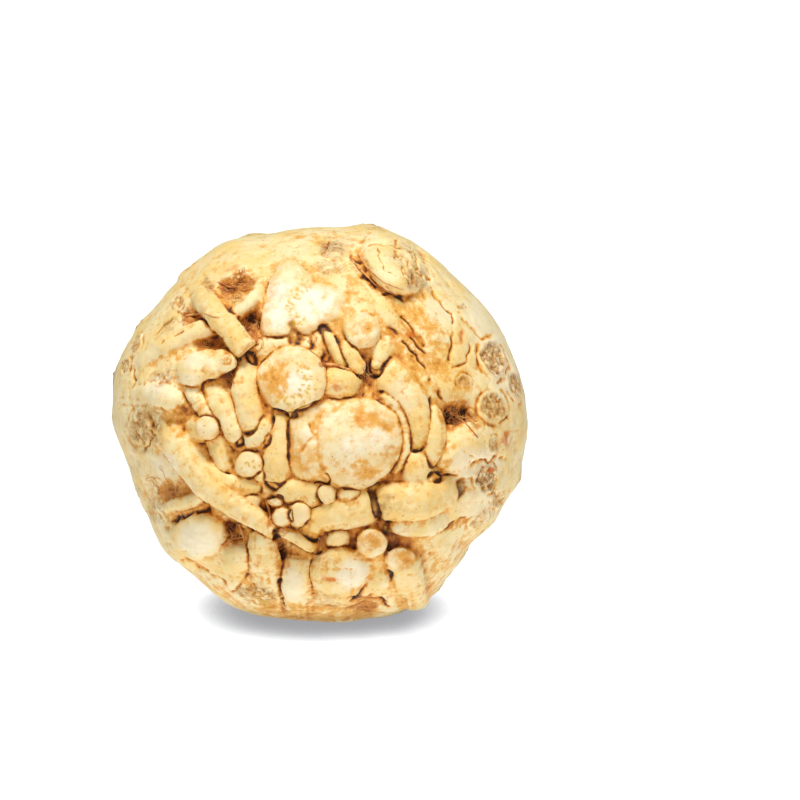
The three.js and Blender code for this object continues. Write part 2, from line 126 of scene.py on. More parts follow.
# Roots that lie along the root end: their points as x, y, radius and rise of the top, whether the
# tip is cut flat, and the group whose members grow into each other without a crack
LYING_ROOTS = [
    # Left side
    ([(-47, -0.5, 4.2, 0.8), (-43.2, -4.6, 3.9, 2.8), (-39, -10.5, 3.6, 3.8), (-31.8, -18.6, 3.4, 3.6),
      (-24, -24.9, 2.6, 2.8), (-18.6, -28.4, 2.3, 2.2), (-12.4, -33.4, 1.3, 0.6)], False, None),
    ([(-41, -6, 1.6, -1.6), (-37.2, -9.9, 1.8, -0.2), (-32, -14.4, 2, 0.4), (-27, -17.4, 2, 0.4),
      (-17.6, -19, 1.7, -0.6)], False, None),
    ([(-37.6, -4, 1.7, -2.2), (-34.5, -7, 1.7, -1), (-31.4, -10.4, 1.6, -1.4)], False, None),
    ([(-31.4, -2.5, 2.2, -1.6), (-29.6, -8, 2.3, -0.2), (-27.6, -13.8, 1.6, -1)], False, None),
    ([(-38.8, 12, 1.8, -0.6), (-36.8, 8.2, 2, 1.3), (-33.8, 4, 1.7, 1.1), (-29.6, 0, 1.2, 0)],
     False, None),
    ([(-33, 13.6, 2.2, -1.4), (-30.6, 8.6, 2.4, 0.8), (-27.6, 2.2, 2.4, 0.8), (-23.8, -5.4, 1.8, -0.4)],
     False, None),
    ([(-50, -24.6, 1.2, -0.4), (-45, -24.3, 1.2, 1.8), (-39, -22.8, 1.3, 2), (-33.6, -20.6, 1.3, 1.4)],
     False, None),
    ([(-55, 9.6, 4, 0.4), (-47, 9, 3.2, 3.4), (-40.6, 6.2, 2.2, 1.6)], False, None),
    # Upper left
    ([(-53.5, 15.5, 2.2, 0.6), (-47, 23.2, 2.2, 2.8), (-40, 27.2, 2.1, 3), (-33, 29.6, 1.9, 2.6),
      (-25, 33.6, 1.5, 2.4), (-20.5, 37, 1.4, 2.2), (-15.6, 42.4, 1.3, 0.6)], False, None),
    ([(-40, 44.5, 3.6, 0.4), (-33, 36, 3.4, 4.4), (-28, 30, 3.2, 5.6), (-21.8, 22.4, 2.8, 4)], True, None),
    # Around the round cut root above the middle
    ([(-21.3, 19.5, 2.6, -1.2), (-22.3, 12, 2.8, 1), (-21, 5, 2.8, 0.8), (-19.4, -2.2, 2.5, -0.2)],
     False, None),
    ([(-18.5, 21, 2.6, -0.6), (-9.5, 25.4, 2.2, -0.4), (1.2, 20.6, 1.4, -1)], False, None),
    ([(-8.2, 29, 2.2, 0.4), (-6.8, 23.4, 2.1, -0.4)], False, None),
    ([(1.4, 27.5, 2.2, -0.6), (-1.4, 19.8, 2.2, -0.2)], False, None),
    ([(0.6, 29, 1.3, -0.6), (3.8, 24.2, 1.4, 0.4), (7.4, 17.4, 1.3, -0.4)], False, None),
    ([(6, 24.4, 1.7, -0.6), (9.2, 20.4, 2.1, 0.8), (12.8, 15.4, 1.5, -0.2)], False, None),
    ([(21.6, 28.5, 2.1, -0.6), (19.4, 22.6, 2.3, 0.8), (16.6, 15.6, 1.8, -0.2)], False, None),
    ([(14.5, 41, 1.8, 0), (20.5, 32.5, 1.9, 1.6), (27, 24.5, 1.4, 0)], False, None),
    # Middle
    ([(-10.8, 3.6, 2.1, -1.4), (-11.4, -3, 2.3, 0), (-12.6, -10, 3.4, 0.6), (-12.4, -17.6, 3.1, -1)],
     False, None),
    ([(-22.4, -5, 1.9, -1.4), (-18.6, -3.6, 2.4, -0.2), (-14.6, 1.6, 1.8, -0.6)], False, None),
    ([(-13.5, -18.6, 2.8, -1.2), (-7, -19.6, 3, 0), (0.6, -20.8, 2.9, -0.4)], False, None),
    ([(18.4, 8.8, 1, -0.4), (23.8, 5, 1.2, -0.2), (26.2, -1, 1.2, -0.2), (25.4, -8, 1.2, -0.4),
      (22, -14.8, 1, -0.8)], False, None),
    # Right side
    ([(17.5, 17, 3.6, -1), (23, 12.8, 5.4, 1.8), (27.4, 6.8, 4.4, 2), (29, 0.4, 2.5, 1.4),
      (28.4, -7.6, 2, 0)], False, None),
    ([(33, 6.5, 1.7, 0.2), (34.4, -1.5, 2, 1.8), (33.6, -7.5, 2.2, 1.6), (31, -12.6, 2.4, 0)], False, None),
    ([(53, -3.4, 4.6, 0), (45, -5.4, 4.6, 3.2), (39, -9, 3.6, 3.2), (35.6, -12.8, 2.1, 1.2)], False, None),
    ([(41, -17, 3.6, 0.8), (33, -20.4, 4.2, 3.8), (26, -22.8, 4.3, 4), (15.8, -22.8, 4.6, 2.6)],
     False, None),
    ([(38, -26.6, 2.6, 0.4), (30, -29.4, 2.8, 3), (25, -30.6, 2.3, 2.8), (20.4, -30.2, 1.2, 1)],
     False, None),
    ([(31.8, -34.4, 1.2, 0.6), (34.6, -42.4, 1.1, 0.4)], False, None),
    # Bottom
    ([(20, -23.4, 3, -1.4), (14.2, -24.4, 3.9, 1.6), (6, -26.6, 3.6, 1.4), (-0.6, -28.4, 3.3, 0.8),
      (-3, -33.4, 2.4, -0.4)], False, None),
    ([(-12.8, -32.2, 0.8, 0.6), (-9, -33.2, 1.4, 1.2), (-5, -34.6, 1.6, 1.4), (-0.4, -37, 1.3, 0.4)],
     False, None),
    ([(28, -53, 4.6, 0.6), (26.8, -46.5, 4.5, 3.2), (24.9, -40, 4.1, 3.8)], True, "brown cut"),
    ([(10.5, -50.4, 1.6, 1.4), (15, -47.6, 1.7, 2.6), (20.4, -44.4, 1.6, 2.2)], False, None),
    ([(-5.8, -38, 3.2, 0), (-7.1, -46.5, 4, 3.2), (-6.2, -55, 3.4, 1)], False, None),
    ([(-18.6, -30, 2, 0.4), (-16.6, -38, 3.8, 3.2), (-15.4, -45.8, 3.9, 2.4), (-15, -52, 3, 0.4)],
     False, None),
]

# Roots cut off end on: x, y, half width, half height, then the face's rise, its tilt across and up,
# how far it is domed, and the group
END_ON_ROOTS = [
    (-8.2, 13.6, 10.1, 9.8, (1, (0.12, -0.06), 1.8), None),
    (-21, -11.6, 4.1, 4, (-0.4, (0, 0), 0.8), None),
    (12.7, 28.2, 5.3, 5.2, (1.8, (0, 0), 1), None),
    (-6.2, -26.6, 3.4, 3.8, (1.4, (0, 0), 0.9), None),
    (-10.9, -27.3, 3.2, 3, (0.2, (0, 0), 0.9), None),
    (15.7, -35, 4.9, 4.4, (3.4, (0, 0), 0.9), "white lobe"),
    (24.4, -39.6, 4.6, 3.6, (3.8, (0, 0.1), 0.7), "brown cut"),
    (-33.3, -0.7, 3.5, 3.6, (1.9, (-0.3, 0), 0.6), "barrel"),
    (2, -20.6, 2.9, 2.6, (0, (0, 0), 0.6), None),
    (34.4, -15.8, 2, 1.9, (0.4, (0, 0), 0.5), None),
    (-13.2, -22.6, 2.4, 1.7, (-1, (0, 0), 0.5), None),
]

# Cut faces whose edge isn't an oval: the edge, then the rise, the tilt and the dome, and the group
SHAPED_CUTS = [
    ([(-8.6, 3), (-5, 5.2), (0, 7), (6, 7.2), (12, 8), (18, 6.8), (22.6, 3), (24.6, -4), (23.2, -10),
      (18.5, -16.2), (12, -19), (5.5, -18), (0.5, -15.5), (-4.5, -16.4), (-8.4, -13), (-9, -5)],
     (-0.2, (0, 0), 3.4), "tap root"),
    ([(-16.6, 27), (-17.2, 32), (-15.6, 38.5), (-12.6, 46.5), (-8.5, 49), (-4, 46), (-1.5, 42.5),
      (4, 41), (8.6, 39.5), (7.6, 35), (1.5, 30), (-7.5, 27.4), (-12, 25.8)],
     (0.9, (0, -0.02), 0.8), "skin"),
]

# Rounded lumps: x, y, half width, half height, half thickness, turn in degrees, rise, group
LUMPS = [
    (22.2, 48.2, 11.4, 7.8, 6, -41, 4.2, "knob"),
    (5.5, 52.6, 4.4, 3.8, 3, 0, 1.6, "top scar"),
    (10.5, -5.6, 13.5, 11.6, 6, -6, 2.8, "tap root"),
    (-2.5, -5.5, 6, 9.4, 5, 0, 1.6, "tap root"),
    (6.4, 12.6, 6, 4.8, 4, 0, 0.6, None),
    (8.7, -21, 3.4, 2.5, 2.6, 0, 0.2, None),
    (30, -13.4, 5.2, 6.3, 4.4, 0, 1.7, None),
    (5.6, -34, 3.9, 2.8, 2.8, 10, 2, None),
    (6.8, -45, 10.4, 9.2, 8, 0, 4.6, "white lobe"),
    (-36.8, -34, 9.6, 8.8, 6.5, 20, 2.6, None),
    (-24.2, -40.4, 4.6, 4.8, 4, 0, 2.4, None),
    (-17.7, -15, 1.5, 1.4, 1.5, 0, -0.6, None),
    (-20.5, -22.4, 2.6, 2, 2, 0, -0.4, None),
    (-14.9, -4.8, 1.6, 2.6, 1.8, 10, -0.8, None),
    (-7.6, 3.2, 1.6, 1.4, 1.5, 0, -0.2, None),
    (-38, 17, 5.6, 5.6, 4.6, 0, 3.6, "bean"),
    (-33, 18, 5.4, 4.6, 4, 0, 3.5, "bean"),
    (-28.6, 19, 4.2, 3.8, 3.4, 0, 3.5, "bean"),
    (-36.4, -0.9, 4.6, 4.5, 4, 0, 1.1, "barrel"),
    (46, -20, 8, 7, 5, 20, 1.6, "skin"),
]

# Grooves in the skin: points as x and y, half width, depth
GROOVES = [
    ([(-49.5, 27), (-45, 32)], 0.6, 0.8), ([(-47.5, 24.4), (-41, 28.6)], 0.5, 0.7),
    ([(-57.5, 8), (-55.5, 16)], 0.6, 0.8), ([(-55.4, -2), (-53, -6)], 0.6, 1),
    ([(-51, 4), (-50, -3), (-52.4, -8)], 0.5, 0.6),
    ([(2, -14.6), (3, -17), (-1.4, -17.6)], 0.5, 0.9), ([(-12, -46.5), (-10.4, -54)], 0.6, 1),
    ([(35, -31.6), (44, -27.6)], 0.8, 0.9), ([(-39.5, -40), (-28, -47)], 1, 0.8),
    ([(33.5, 41), (39.5, 33), (39.4, 20)], 0.8, 0.7),
    ([(9.5, 51), (13.5, 44), (19, 39.2), (25, 37.6)], 0.8, 0.8), ([(11, 46), (16, 40.6)], 0.5, 0.6),
    ([(26.4, 57.4), (31, 51), (32.4, 44)], 0.7, 0.9),
    ([(29, 55), (28.6, 49), (30, 43.6)], 0.45, 0.8),
    ([(25.5, 24.5), (29, 21), (31.4, 17)], 0.6, 0.9), ([(28, 26), (31.4, 22)], 0.5, 0.8),
    ([(24, 33), (31, 24)], 0.6, 0.6), ([(33, 14), (36.4, 8)], 0.7, 0.8),
    ([(-3, 0), (-1, -3), (-5, -7)], 0.8, 0.5),
    ([(0.4, 4), (-1.6, -2), (-1, -9), (1, -13)], 1.6, 0.35),
    ([(14, 54), (17.6, 55), (24, 53)], 0.5, 0.8), ([(40, 17), (44, 19), (45.6, 25)], 0.7, 0.7),
    ([(45, -9), (50, -11), (55, -10)], 0.8, 0.7), ([(38, -14.6), (43, -14), (48, -9.6)], 0.8, 0.9),
    ([(9, -52), (16, -51.4), (21, -54)], 0.8, 1), ([(-44, -28.6), (-38, -27), (-33, -24.6)], 1, 1),
    ([(1, 50), (2, 55)], 0.5, 0.8), ([(-22, -45), (-25.6, -50)], 0.7, 0.6),
    ([(43, 32), (48, 27), (49, 25)], 0.7, 0.5), ([(16.5, 55), (18, 49), (22, 44)], 0.4, 0.5),
    ([(23, 56), (22, 50), (26, 45)], 0.4, 0.5), ([(27.4, 53), (26.6, 47.5), (28, 42.5)], 0.5, 0.9),
    ([(25, 50), (24.4, 46), (26.4, 42)], 0.4, 0.7), ([(20, 52), (24, 50)], 0.4, 0.4),
    ([(13, 49), (17, 45), (20.4, 40.8)], 0.4, 0.5),
]

# Round scars where side roots broke off: x, y, half width, half height, turn in degrees, height
EYES = [
    (51.9, 19.6, 4.3, 6.8, 16, 1.2), (58.5, 12, 2.6, 5.2, 10, 0.8), (51.5, 5.5, 4.6, 5.4, 0, 0.9),
    (52, -6, 2.2, 3, 0, 0.6), (49.5, -16, 3.8, 4.8, 0, 1), (53, -22.5, 3, 3, 0, 0.7),
    (47.5, -28.5, 4, 2.2, 30, 0.6), (-54, -0.5, 3.6, 6, 8, 0.5), (-55, 24, 2, 4, -30, 0.7),
    (-58.5, 17.5, 1.8, 3, -20, 0.7), (-42, 36.5, 2.4, 2.8, 0, 0.5), (42, 35, 1.6, 1.6, 0, 0.5),
    (46, 1, 2.4, 4.2, 20, 0.6), (43.5, 13.5, 2.6, 2.6, 0, 0.6), (-28, 19.8, 1.9, 1.8, 0, 0.7),
]

# The crown: stumps of the leaf stalks, set in a spiral
CROWN = {
    "stumps": 15, "turn": 137.5, "first": 5.5, "last": 20, "neck": 23, "neck_rise": 2.6,
    "half_width": (4.8, 9.6), "half_thickness": (2.4, 3.5), "rise": (4, 2.2), "root": 5, "bud": 4.6,
}

# Scars and warts around the sides and the crown end
SCARS = {"count": 64, "radius": (3, 5.5), "rise": (0.6, 1.5), "from": -0.85, "up_to": 0.3}

# Yellow flecks in arcs on the cut faces: x and y of the arc's centre, its radius, its first and last
# angle in degrees and how many
FLECKS = [(-2.6, 35.5, 6.8, 105, 235, 18), (-2.6, 35.5, 5.4, 100, 250, 14), (-8.8, 12.6, 6.4, -125, 75, 24),
          (-9, 12.4, 4.8, -110, 60, 16), (-21, -11.6, 1.6, 0, 330, 9)]

# Marks on the root end: x, y, half width, half height, turn in degrees, strength
CORK = [
    (26, 50, 6, 5, -38, 0.4), (28.4, 44, 3.6, 4, -38, 0.8), (4, 53, 5, 3.5, 0, 0.8),
    (3, 47, 4.5, 3.2, 0, 0.5), (-52, -1, 5.6, 8.4, 8, 0.8), (-33, 42, 2, 2, 0, 0.8),
    (-18.5, -50.5, 7.5, 2.8, -8, 0.8), (19.5, -23.6, 3.4, 4, 0, 0.6), (2, -52, 6, 3, 0, 0.4),
    (-50, -26, 5, 4, -30, 0.4), (-47, 14.5, 4, 3, 20, 0.6), (-45, 30, 2.2, 3.6, -40, 0.5),
    (50, -26, 5, 3, 30, 0.4),
]
GOLD = [
    (30, 25, 11, 15, 20, 0.7), (40, 12, 6, 10, 0, 0.5), (26, 40, 9, 4, -25, 0.6),
    (14, 2, 5, 3.5, 0, 0.8), (10, 5, 8, 2.4, 0, 0.5), (21, -9, 3, 6, 10, 0.6),
    (17, -1, 5, 4, 0, 0.45), (13, -13.5, 6, 2.8, 0, 0.8), (-5, -9.5, 3.6, 6, 0, 0.75),
    (-1, -14, 3.4, 3, 0, 0.5), (6, 11, 3.2, 2.8, 0, 0.7), (-24, 42.5, 6.5, 4.4, 20, 0.9),
    (-14, 13, 3.6, 5, 0, 0.5), (37.5, -12.5, 2.8, 2.4, 0, 0.9), (30, -12, 3, 3, 0, 0.5),
    (14, -53, 8, 4.6, 0, 0.85), (-40, -26, 9, 3.5, 10, 0.7), (40, -30, 6, 1.2, 18, 0.8),
    (-31, 12, 2, 4, 20, 0.6), (-28, 5, 2, 4, 10, 0.4), (24, -36, 5.4, 5, 0, 0.7),
    (8, -22, 4, 2, 0, 0.6), (-3, -46, 5, 2, 10, 0.35), (-44, -20, 6, 4, 0, 0.6),
    (40, 3, 6, 5, 0, 0.6), (-22, -48, 9, 4, 0, 0.3), (0, 56, 12, 2.4, 0, 0.5),
    (-27, 48, 7, 3, 25, 0.35), (12, 46, 6, 5, 0, 0.6), (-13, 13, 5, 7.5, 0, 0.8),
    (12.9, 28.2, 5, 5, 0, 0.7), (15.4, -34.3, 5, 4, 0, 0.8), (25.2, -39.2, 5, 3.6, 0, 0.8),
    (-30, -52, 14, 4, -20, 0.5), (-2, -56.5, 24, 3.6, 0, 0.9), (30, -52, 10, 4, 30, 0.6),
    (42, -38, 9, 4, 45, 0.45), (-50, -20, 4, 9, 20, 0.4), (3, -42, 9, 6, 0, 0.35),
    (-20, -38, 3, 8, 0, 0.35), (33, 14, 5, 9, 0, 0.5),
]
PALE = [
    (10, -6, 5, 4, 0, 0.6), (18, -4, 3.5, 3.5, 0, 0.5), (-3, -3, 3, 3, 0, 0.4),
    (-6, 13, 4, 4, 0, 0.9), (36, 34, 5, 5, 0, 0.45), (-44, 12, 10, 4, 10, 0.5),
    (10, -44, 6, 5, 0, 0.9), (-36, -34, 7, 6, 0, 0.7), (-8, -47, 3.6, 6, 0, 0.6),
    (46, -12, 9, 7, 0, 0.6), (-2, 36, 8, 6, 0, 1), (-12, 36, 5, 9, 10, 1), (-36, 19, 6, 3, 0, 0.6),
    (50, 30, 6, 12, 25, 0.5), (-46, -12, 6, 4, -40, 0.5), (56, 14, 5, 9, 10, 0.5),
    (47, -24, 7, 6, 0, 0.4), (24, 8, 4, 7, 10, 0.4),
]
RUST = [
    (27, 27, 1.3, 1.9, 0, 1), (42.3, 26.5, 1.2, 2.4, 0, 1), (55.5, -4, 1.6, 3, 10, 1),
    (5.5, 11, 1.8, 1.4, 0, 0.7), (-42, -17.5, 1.5, 1, 0, 0.6), (51, -14, 1.4, 1, 0, 0.8),
    (3, -46, 2, 1, 0, 0.9), (12.5, 2.5, 1, 1, 0, 0.6), (-26, 47, 3, 1.2, 30, 0.5),
]
# Brown patches: real browning, and painted shade in the dents and hollows between the roots
BROWN_AND_SHADE = [
    (-14.5, 13, 3, 4.4, 0, 0.55), (47, 1.5, 1.6, 2.6, 10, 1), (14, 13.6, 3.4, 3, 0, 0.7),
    (39.6, 2.4, 5, 4.6, 0, 1), (28.5, 22.5, 2.6, 3.2, 40, 0.75), (-37, 31.4, 4.4, 2.2, 20, 1),
    (-32, 25, 5, 3.4, 20, 1), (-28.6, 40.4, 2.2, 2.6, 0, 1), (-22.6, 41.4, 2.2, 2.6, -30, 0.9),
    (-19.5, 31, 3, 5, -20, 1), (-26, 14, 4, 3, 0, 0.9), (-27, 20, 2.2, 3, 0, 0.8),
    (-37.5, 4.5, 4, 4, 0, 1), (-41.5, -1.5, 3, 3.5, 0, 0.9), (-43, 3, 3.5, 4, 0, 0.8),
    (-42, -20, 6, 2, -10, 0.8), (-25.5, -31.5, 4.5, 3.5, 0, 1), (-12.2, -39, 2.4, 6.5, 0, 1),
    (-15.8, -25, 2.4, 4.4, 12, 1), (-1.5, -34.5, 5, 2.4, -20, 0.9), (22, -34, 3, 3, 0, 0.8),
    (13, -53.5, 6, 2.4, 0, 0.7), (36, -15.8, 1.8, 1.8, 0, 1), (36.2, -5, 2, 5, 0, 0.9),
    (15.4, -34, 2.5, 1.8, 0, 0.5), (25.4, -39.4, 2.6, 1.6, 0, 0.6), (14, 19.5, 2.4, 2.4, 0, 0.7),
    (-3.5, 23.3, 2.4, 2, 0, 0.6), (17, 41.6, 6, 1.2, -42, 0.6), (31, -38, 1.6, 3, 20, 0.7),
    (20, -16, 3, 1.6, 30, 0.8), (-30, -29, 6, 1.6, -18, 0.8),
]

# Where fine root fibres tangle: x, y, half width, half height, how many
FIBRE_SPOTS = [
    (-37.5, 5, 5, 7, 40), (-27, 14, 5, 5, 42), (-37, 12, 4, 4, 16), (-28, 19, 4, 3, 16),
    (-20, 30, 4, 6, 40), (-33, 27, 6, 4, 30), (-24, 42, 6, 5, 40), (-37, 31.4, 4.4, 2.6, 30),
    (-12, -36, 3, 7, 30), (-1, -34, 6, 3, 26), (-26, -31, 6, 5, 42), (-43, -20, 7, 4, 26),
    (39.6, 2, 6, 5, 44), (30, 21, 5, 5, 24), (16, 44, 6, 5, 20), (5, 53, 7, 4, 20),
    (-46, -26, 7, 4, 18), (14, 14, 4, 4, 12), (36, -8, 2.5, 5, 14), (23, -35, 4, 3, 14),
    (13, -53, 7, 3, 18), (2, 22, 5, 3, 14),
]

FIBRES_BELOW = 0.8  # a fibre is kept only where both its ends lie this far below the root end

# Loose strands that lie over the root end: points as x and y, radius
STRANDS = [
    ([(9, 50), (13, 45.5), (17.5, 41.2), (23, 38.6)], 0.45),
    ([(11.5, 51), (15, 46), (19, 42.4), (25, 40.2)], 0.35),
    ([(0, 18), (5, 17.8), (9.2, 16.4)], 0.7),
    ([(-30, 43), (-27, 41), (-24, 41.5)], 0.35),
    ([(-40, 32.5), (-35, 33.5), (-30, 32)], 0.45),
    ([(-16, -22), (-14.5, -27), (-15.6, -31)], 0.5),
    ([(40.5, 2.6), (44.5, -0.2), (47.2, -3.8)], 0.4),
    ([(39, 3.4), (43.4, 2.2), (46.4, 0.2)], 0.35),
    ([(-24, -29.5), (-22.8, -33), (-21.6, -36.5)], 0.5),
    ([(-29, -35.5), (-26.4, -34), (-23, -33.6)], 0.45),
]


def smoothstep(value, low, high):
    share = np.clip((value - low) / (high - low), 0, 1)
    return share * share * (3 - 2 * share)


def outline_radius(degrees):
    angles, radii = np.array(OUTLINE + [(360, OUTLINE[0][1])], float).T
    angle = np.mod(degrees, 360)
    after = np.clip(np.searchsorted(angles, angle, side="right"), 1, len(angles) - 1)
    share = smoothstep(angle, angles[after - 1], angles[after])
    return radii[after - 1] + share * (radii[after] - radii[after - 1])


def root_end_height(x, y):
    """Height of the plain rounded root end over a place on the widest section."""
    reach = np.hypot(x, y) / outline_radius(np.degrees(np.arctan2(y, x)))
    return ROOT_END_DEPTH * np.maximum(0, 1 - reach ** 2) ** (ROOT_END_FULLNESS / 2)


def root_end_slope(x, y):
    step = 0.5
    across = root_end_height(x + step, y) - root_end_height(x - step, y)
    up = root_end_height(x, y + step) - root_end_height(x, y - step)
    return across / (2 * step), up / (2 * step)


def root_end_facing(x, y):
    """How much the root end faces outwards there: 1 is straight out, less is towards the sides."""
    across, up = root_end_slope(x, y)
    return np.maximum(STEEPEST_FACING, 1 / np.sqrt(1 + across ** 2 + up ** 2))


def relief(x, y):
    """Change of height that the hollow, the swellings and the dents make."""
    reach = np.hypot((x - HOLLOW["x"]) / HOLLOW["across"], (y - HOLLOW["y"]) / HOLLOW["up"])
    height = -HOLLOW["depth"] * (1 - smoothstep(reach, 1 - HOLLOW["edge"], 1))
    for at_x, at_y, radius, rise in SWELLINGS:
        height = height + rise * np.exp(-((x - at_x) ** 2 + (y - at_y) ** 2) / radius ** 2)
    return height


def neck_share(from_axis):
    return 1 - smoothstep(from_axis, CROWN["neck"] - 6, CROWN["neck"] + 5)


def crown_height(from_axis):
    reach = from_axis / OUTLINE[0][1]
    rounded = CROWN_DEPTH * (1 - reach ** 2) ** (CROWN_FULLNESS / 2)
    return -rounded - CROWN["neck_rise"] * neck_share(from_axis)


def waviness(d):
    """Slow waves that keep the sides from being a smooth ball."""
    x, y, z = d.T
    return (0.5 * np.sin(5 * x + 3 * y) + 0.5 * np.sin(6 * y - 4 * z + 1)
            + 0.4 * np.sin(9 * z + 5 * x + 2))


def draw_scars():
    """Direction, radius and rise of each scar, from one seeded run of numbers."""
    state = SEEDS["scars"]

    def between(low, high):
        nonlocal state
        state = (state * 1664525 + 1013904223) % 4294967296
        return low + (high - low) * state / 4294967296

    scars = []
    for _ in range(SCARS["count"]):
        z = between(SCARS["from"], SCARS["up_to"])
        turn = 2 * math.pi * between(0, 1)
        flat = math.sqrt(1 - z * z)
        direction = np.array((flat * math.cos(turn), flat * math.sin(turn), z))
        scars.append((direction, between(*SCARS["radius"]), between(*SCARS["rise"])))
    return scars


def body_points(directions):
    """The body's skin in the given directions from the middle of the widest section."""
    turn = np.arctan2(directions[:, 1], directions[:, 0])
    radius = outline_radius(np.degrees(turn))
    across = radius * np.hypot(directions[:, 0], directions[:, 1])
    x, y = across * np.cos(turn), across * np.sin(turn)
    back = np.maximum(0, -directions[:, 2])
    z = np.where(back > 0, -CROWN_DEPTH * back ** CROWN_FULLNESS,
                 root_end_height(x, y) + relief(x, y))
    rise = waviness(directions) * np.minimum(1, WAVES_GROW * back)
    rise += np.where(back > 0, CROWN["neck_rise"] * neck_share(across), 0)
    scar_share = 1 - smoothstep(directions[:, 2], 0, SCARS["up_to"])
    for direction, scar_radius, scar_rise in draw_scars():
        away = radius * np.linalg.norm(directions - direction, axis=1)
        rise += scar_share * scar_rise * np.exp(-(away / scar_radius) ** 2)
    return np.column_stack((x, y, z)) + directions * rise[:, None]


def noise(points, size, seed=0):
    """Smooth random numbers from -1 to 1, with bumps of about the given size."""
    grid = points @ NOISE_TURN / size
    cell = np.floor(grid).astype(np.int64)
    part = grid - cell
    ease = part * part * (3 - 2 * part)
    total = np.zeros(len(points))
    for corner in np.ndindex(2, 2, 2):
        mixed = np.bitwise_xor.reduce((cell + corner) * CORNER_PRIMES, axis=1)
        mixed = (mixed ^ (seed * 40503 + 977)) & LOW_BITS
        for shift, factor in MIXING:
            mixed = ((mixed ^ (mixed >> shift)) * factor) & LOW_BITS
        value = ((mixed ^ (mixed >> 16)) & 0xffff) / 32767.5 - 1
        total += value * np.prod(np.where(corner, ease, 1 - ease), axis=1)
    return total


def wandered(points, by, size, seed):
    """The points' x and y, pushed about so that what is drawn on them gets wandering edges."""
    return points[:, :2] + by * np.column_stack((noise(points, size, seed), noise(points, size, seed + 1)))


def oval_reach(x, y, oval):
    """0 in the middle of a turned oval and 1 on its edge."""
    at_x, at_y, half_width, half_height, degrees = oval
    cos, sin = math.cos(math.radians(degrees)), math.sin(math.radians(degrees))
    across = ((x - at_x) * cos + (y - at_y) * sin) / half_width
    up = ((y - at_y) * cos - (x - at_x) * sin) / half_height
    return np.hypot(across, up)


def round_coords(verts):
    """Angle round z and share of the way from the top pole to the bottom one, for a unit ball."""
    co = np.array([vert.co for vert in verts])
    return np.arctan2(co[:, 1], co[:, 0]), np.arccos(np.clip(co[:, 2], -1, 1)) / math.pi


def put(verts, points):
    for vert, point in zip(verts, points):
        vert.co = point


class Growth:
    """Anything that grows out of the body. Only some have a flat cut face."""

    def face(self, points):
        """How surely a point lies on the flat cut, and its share of the way to the rim."""
        return np.zeros((2, len(points)))


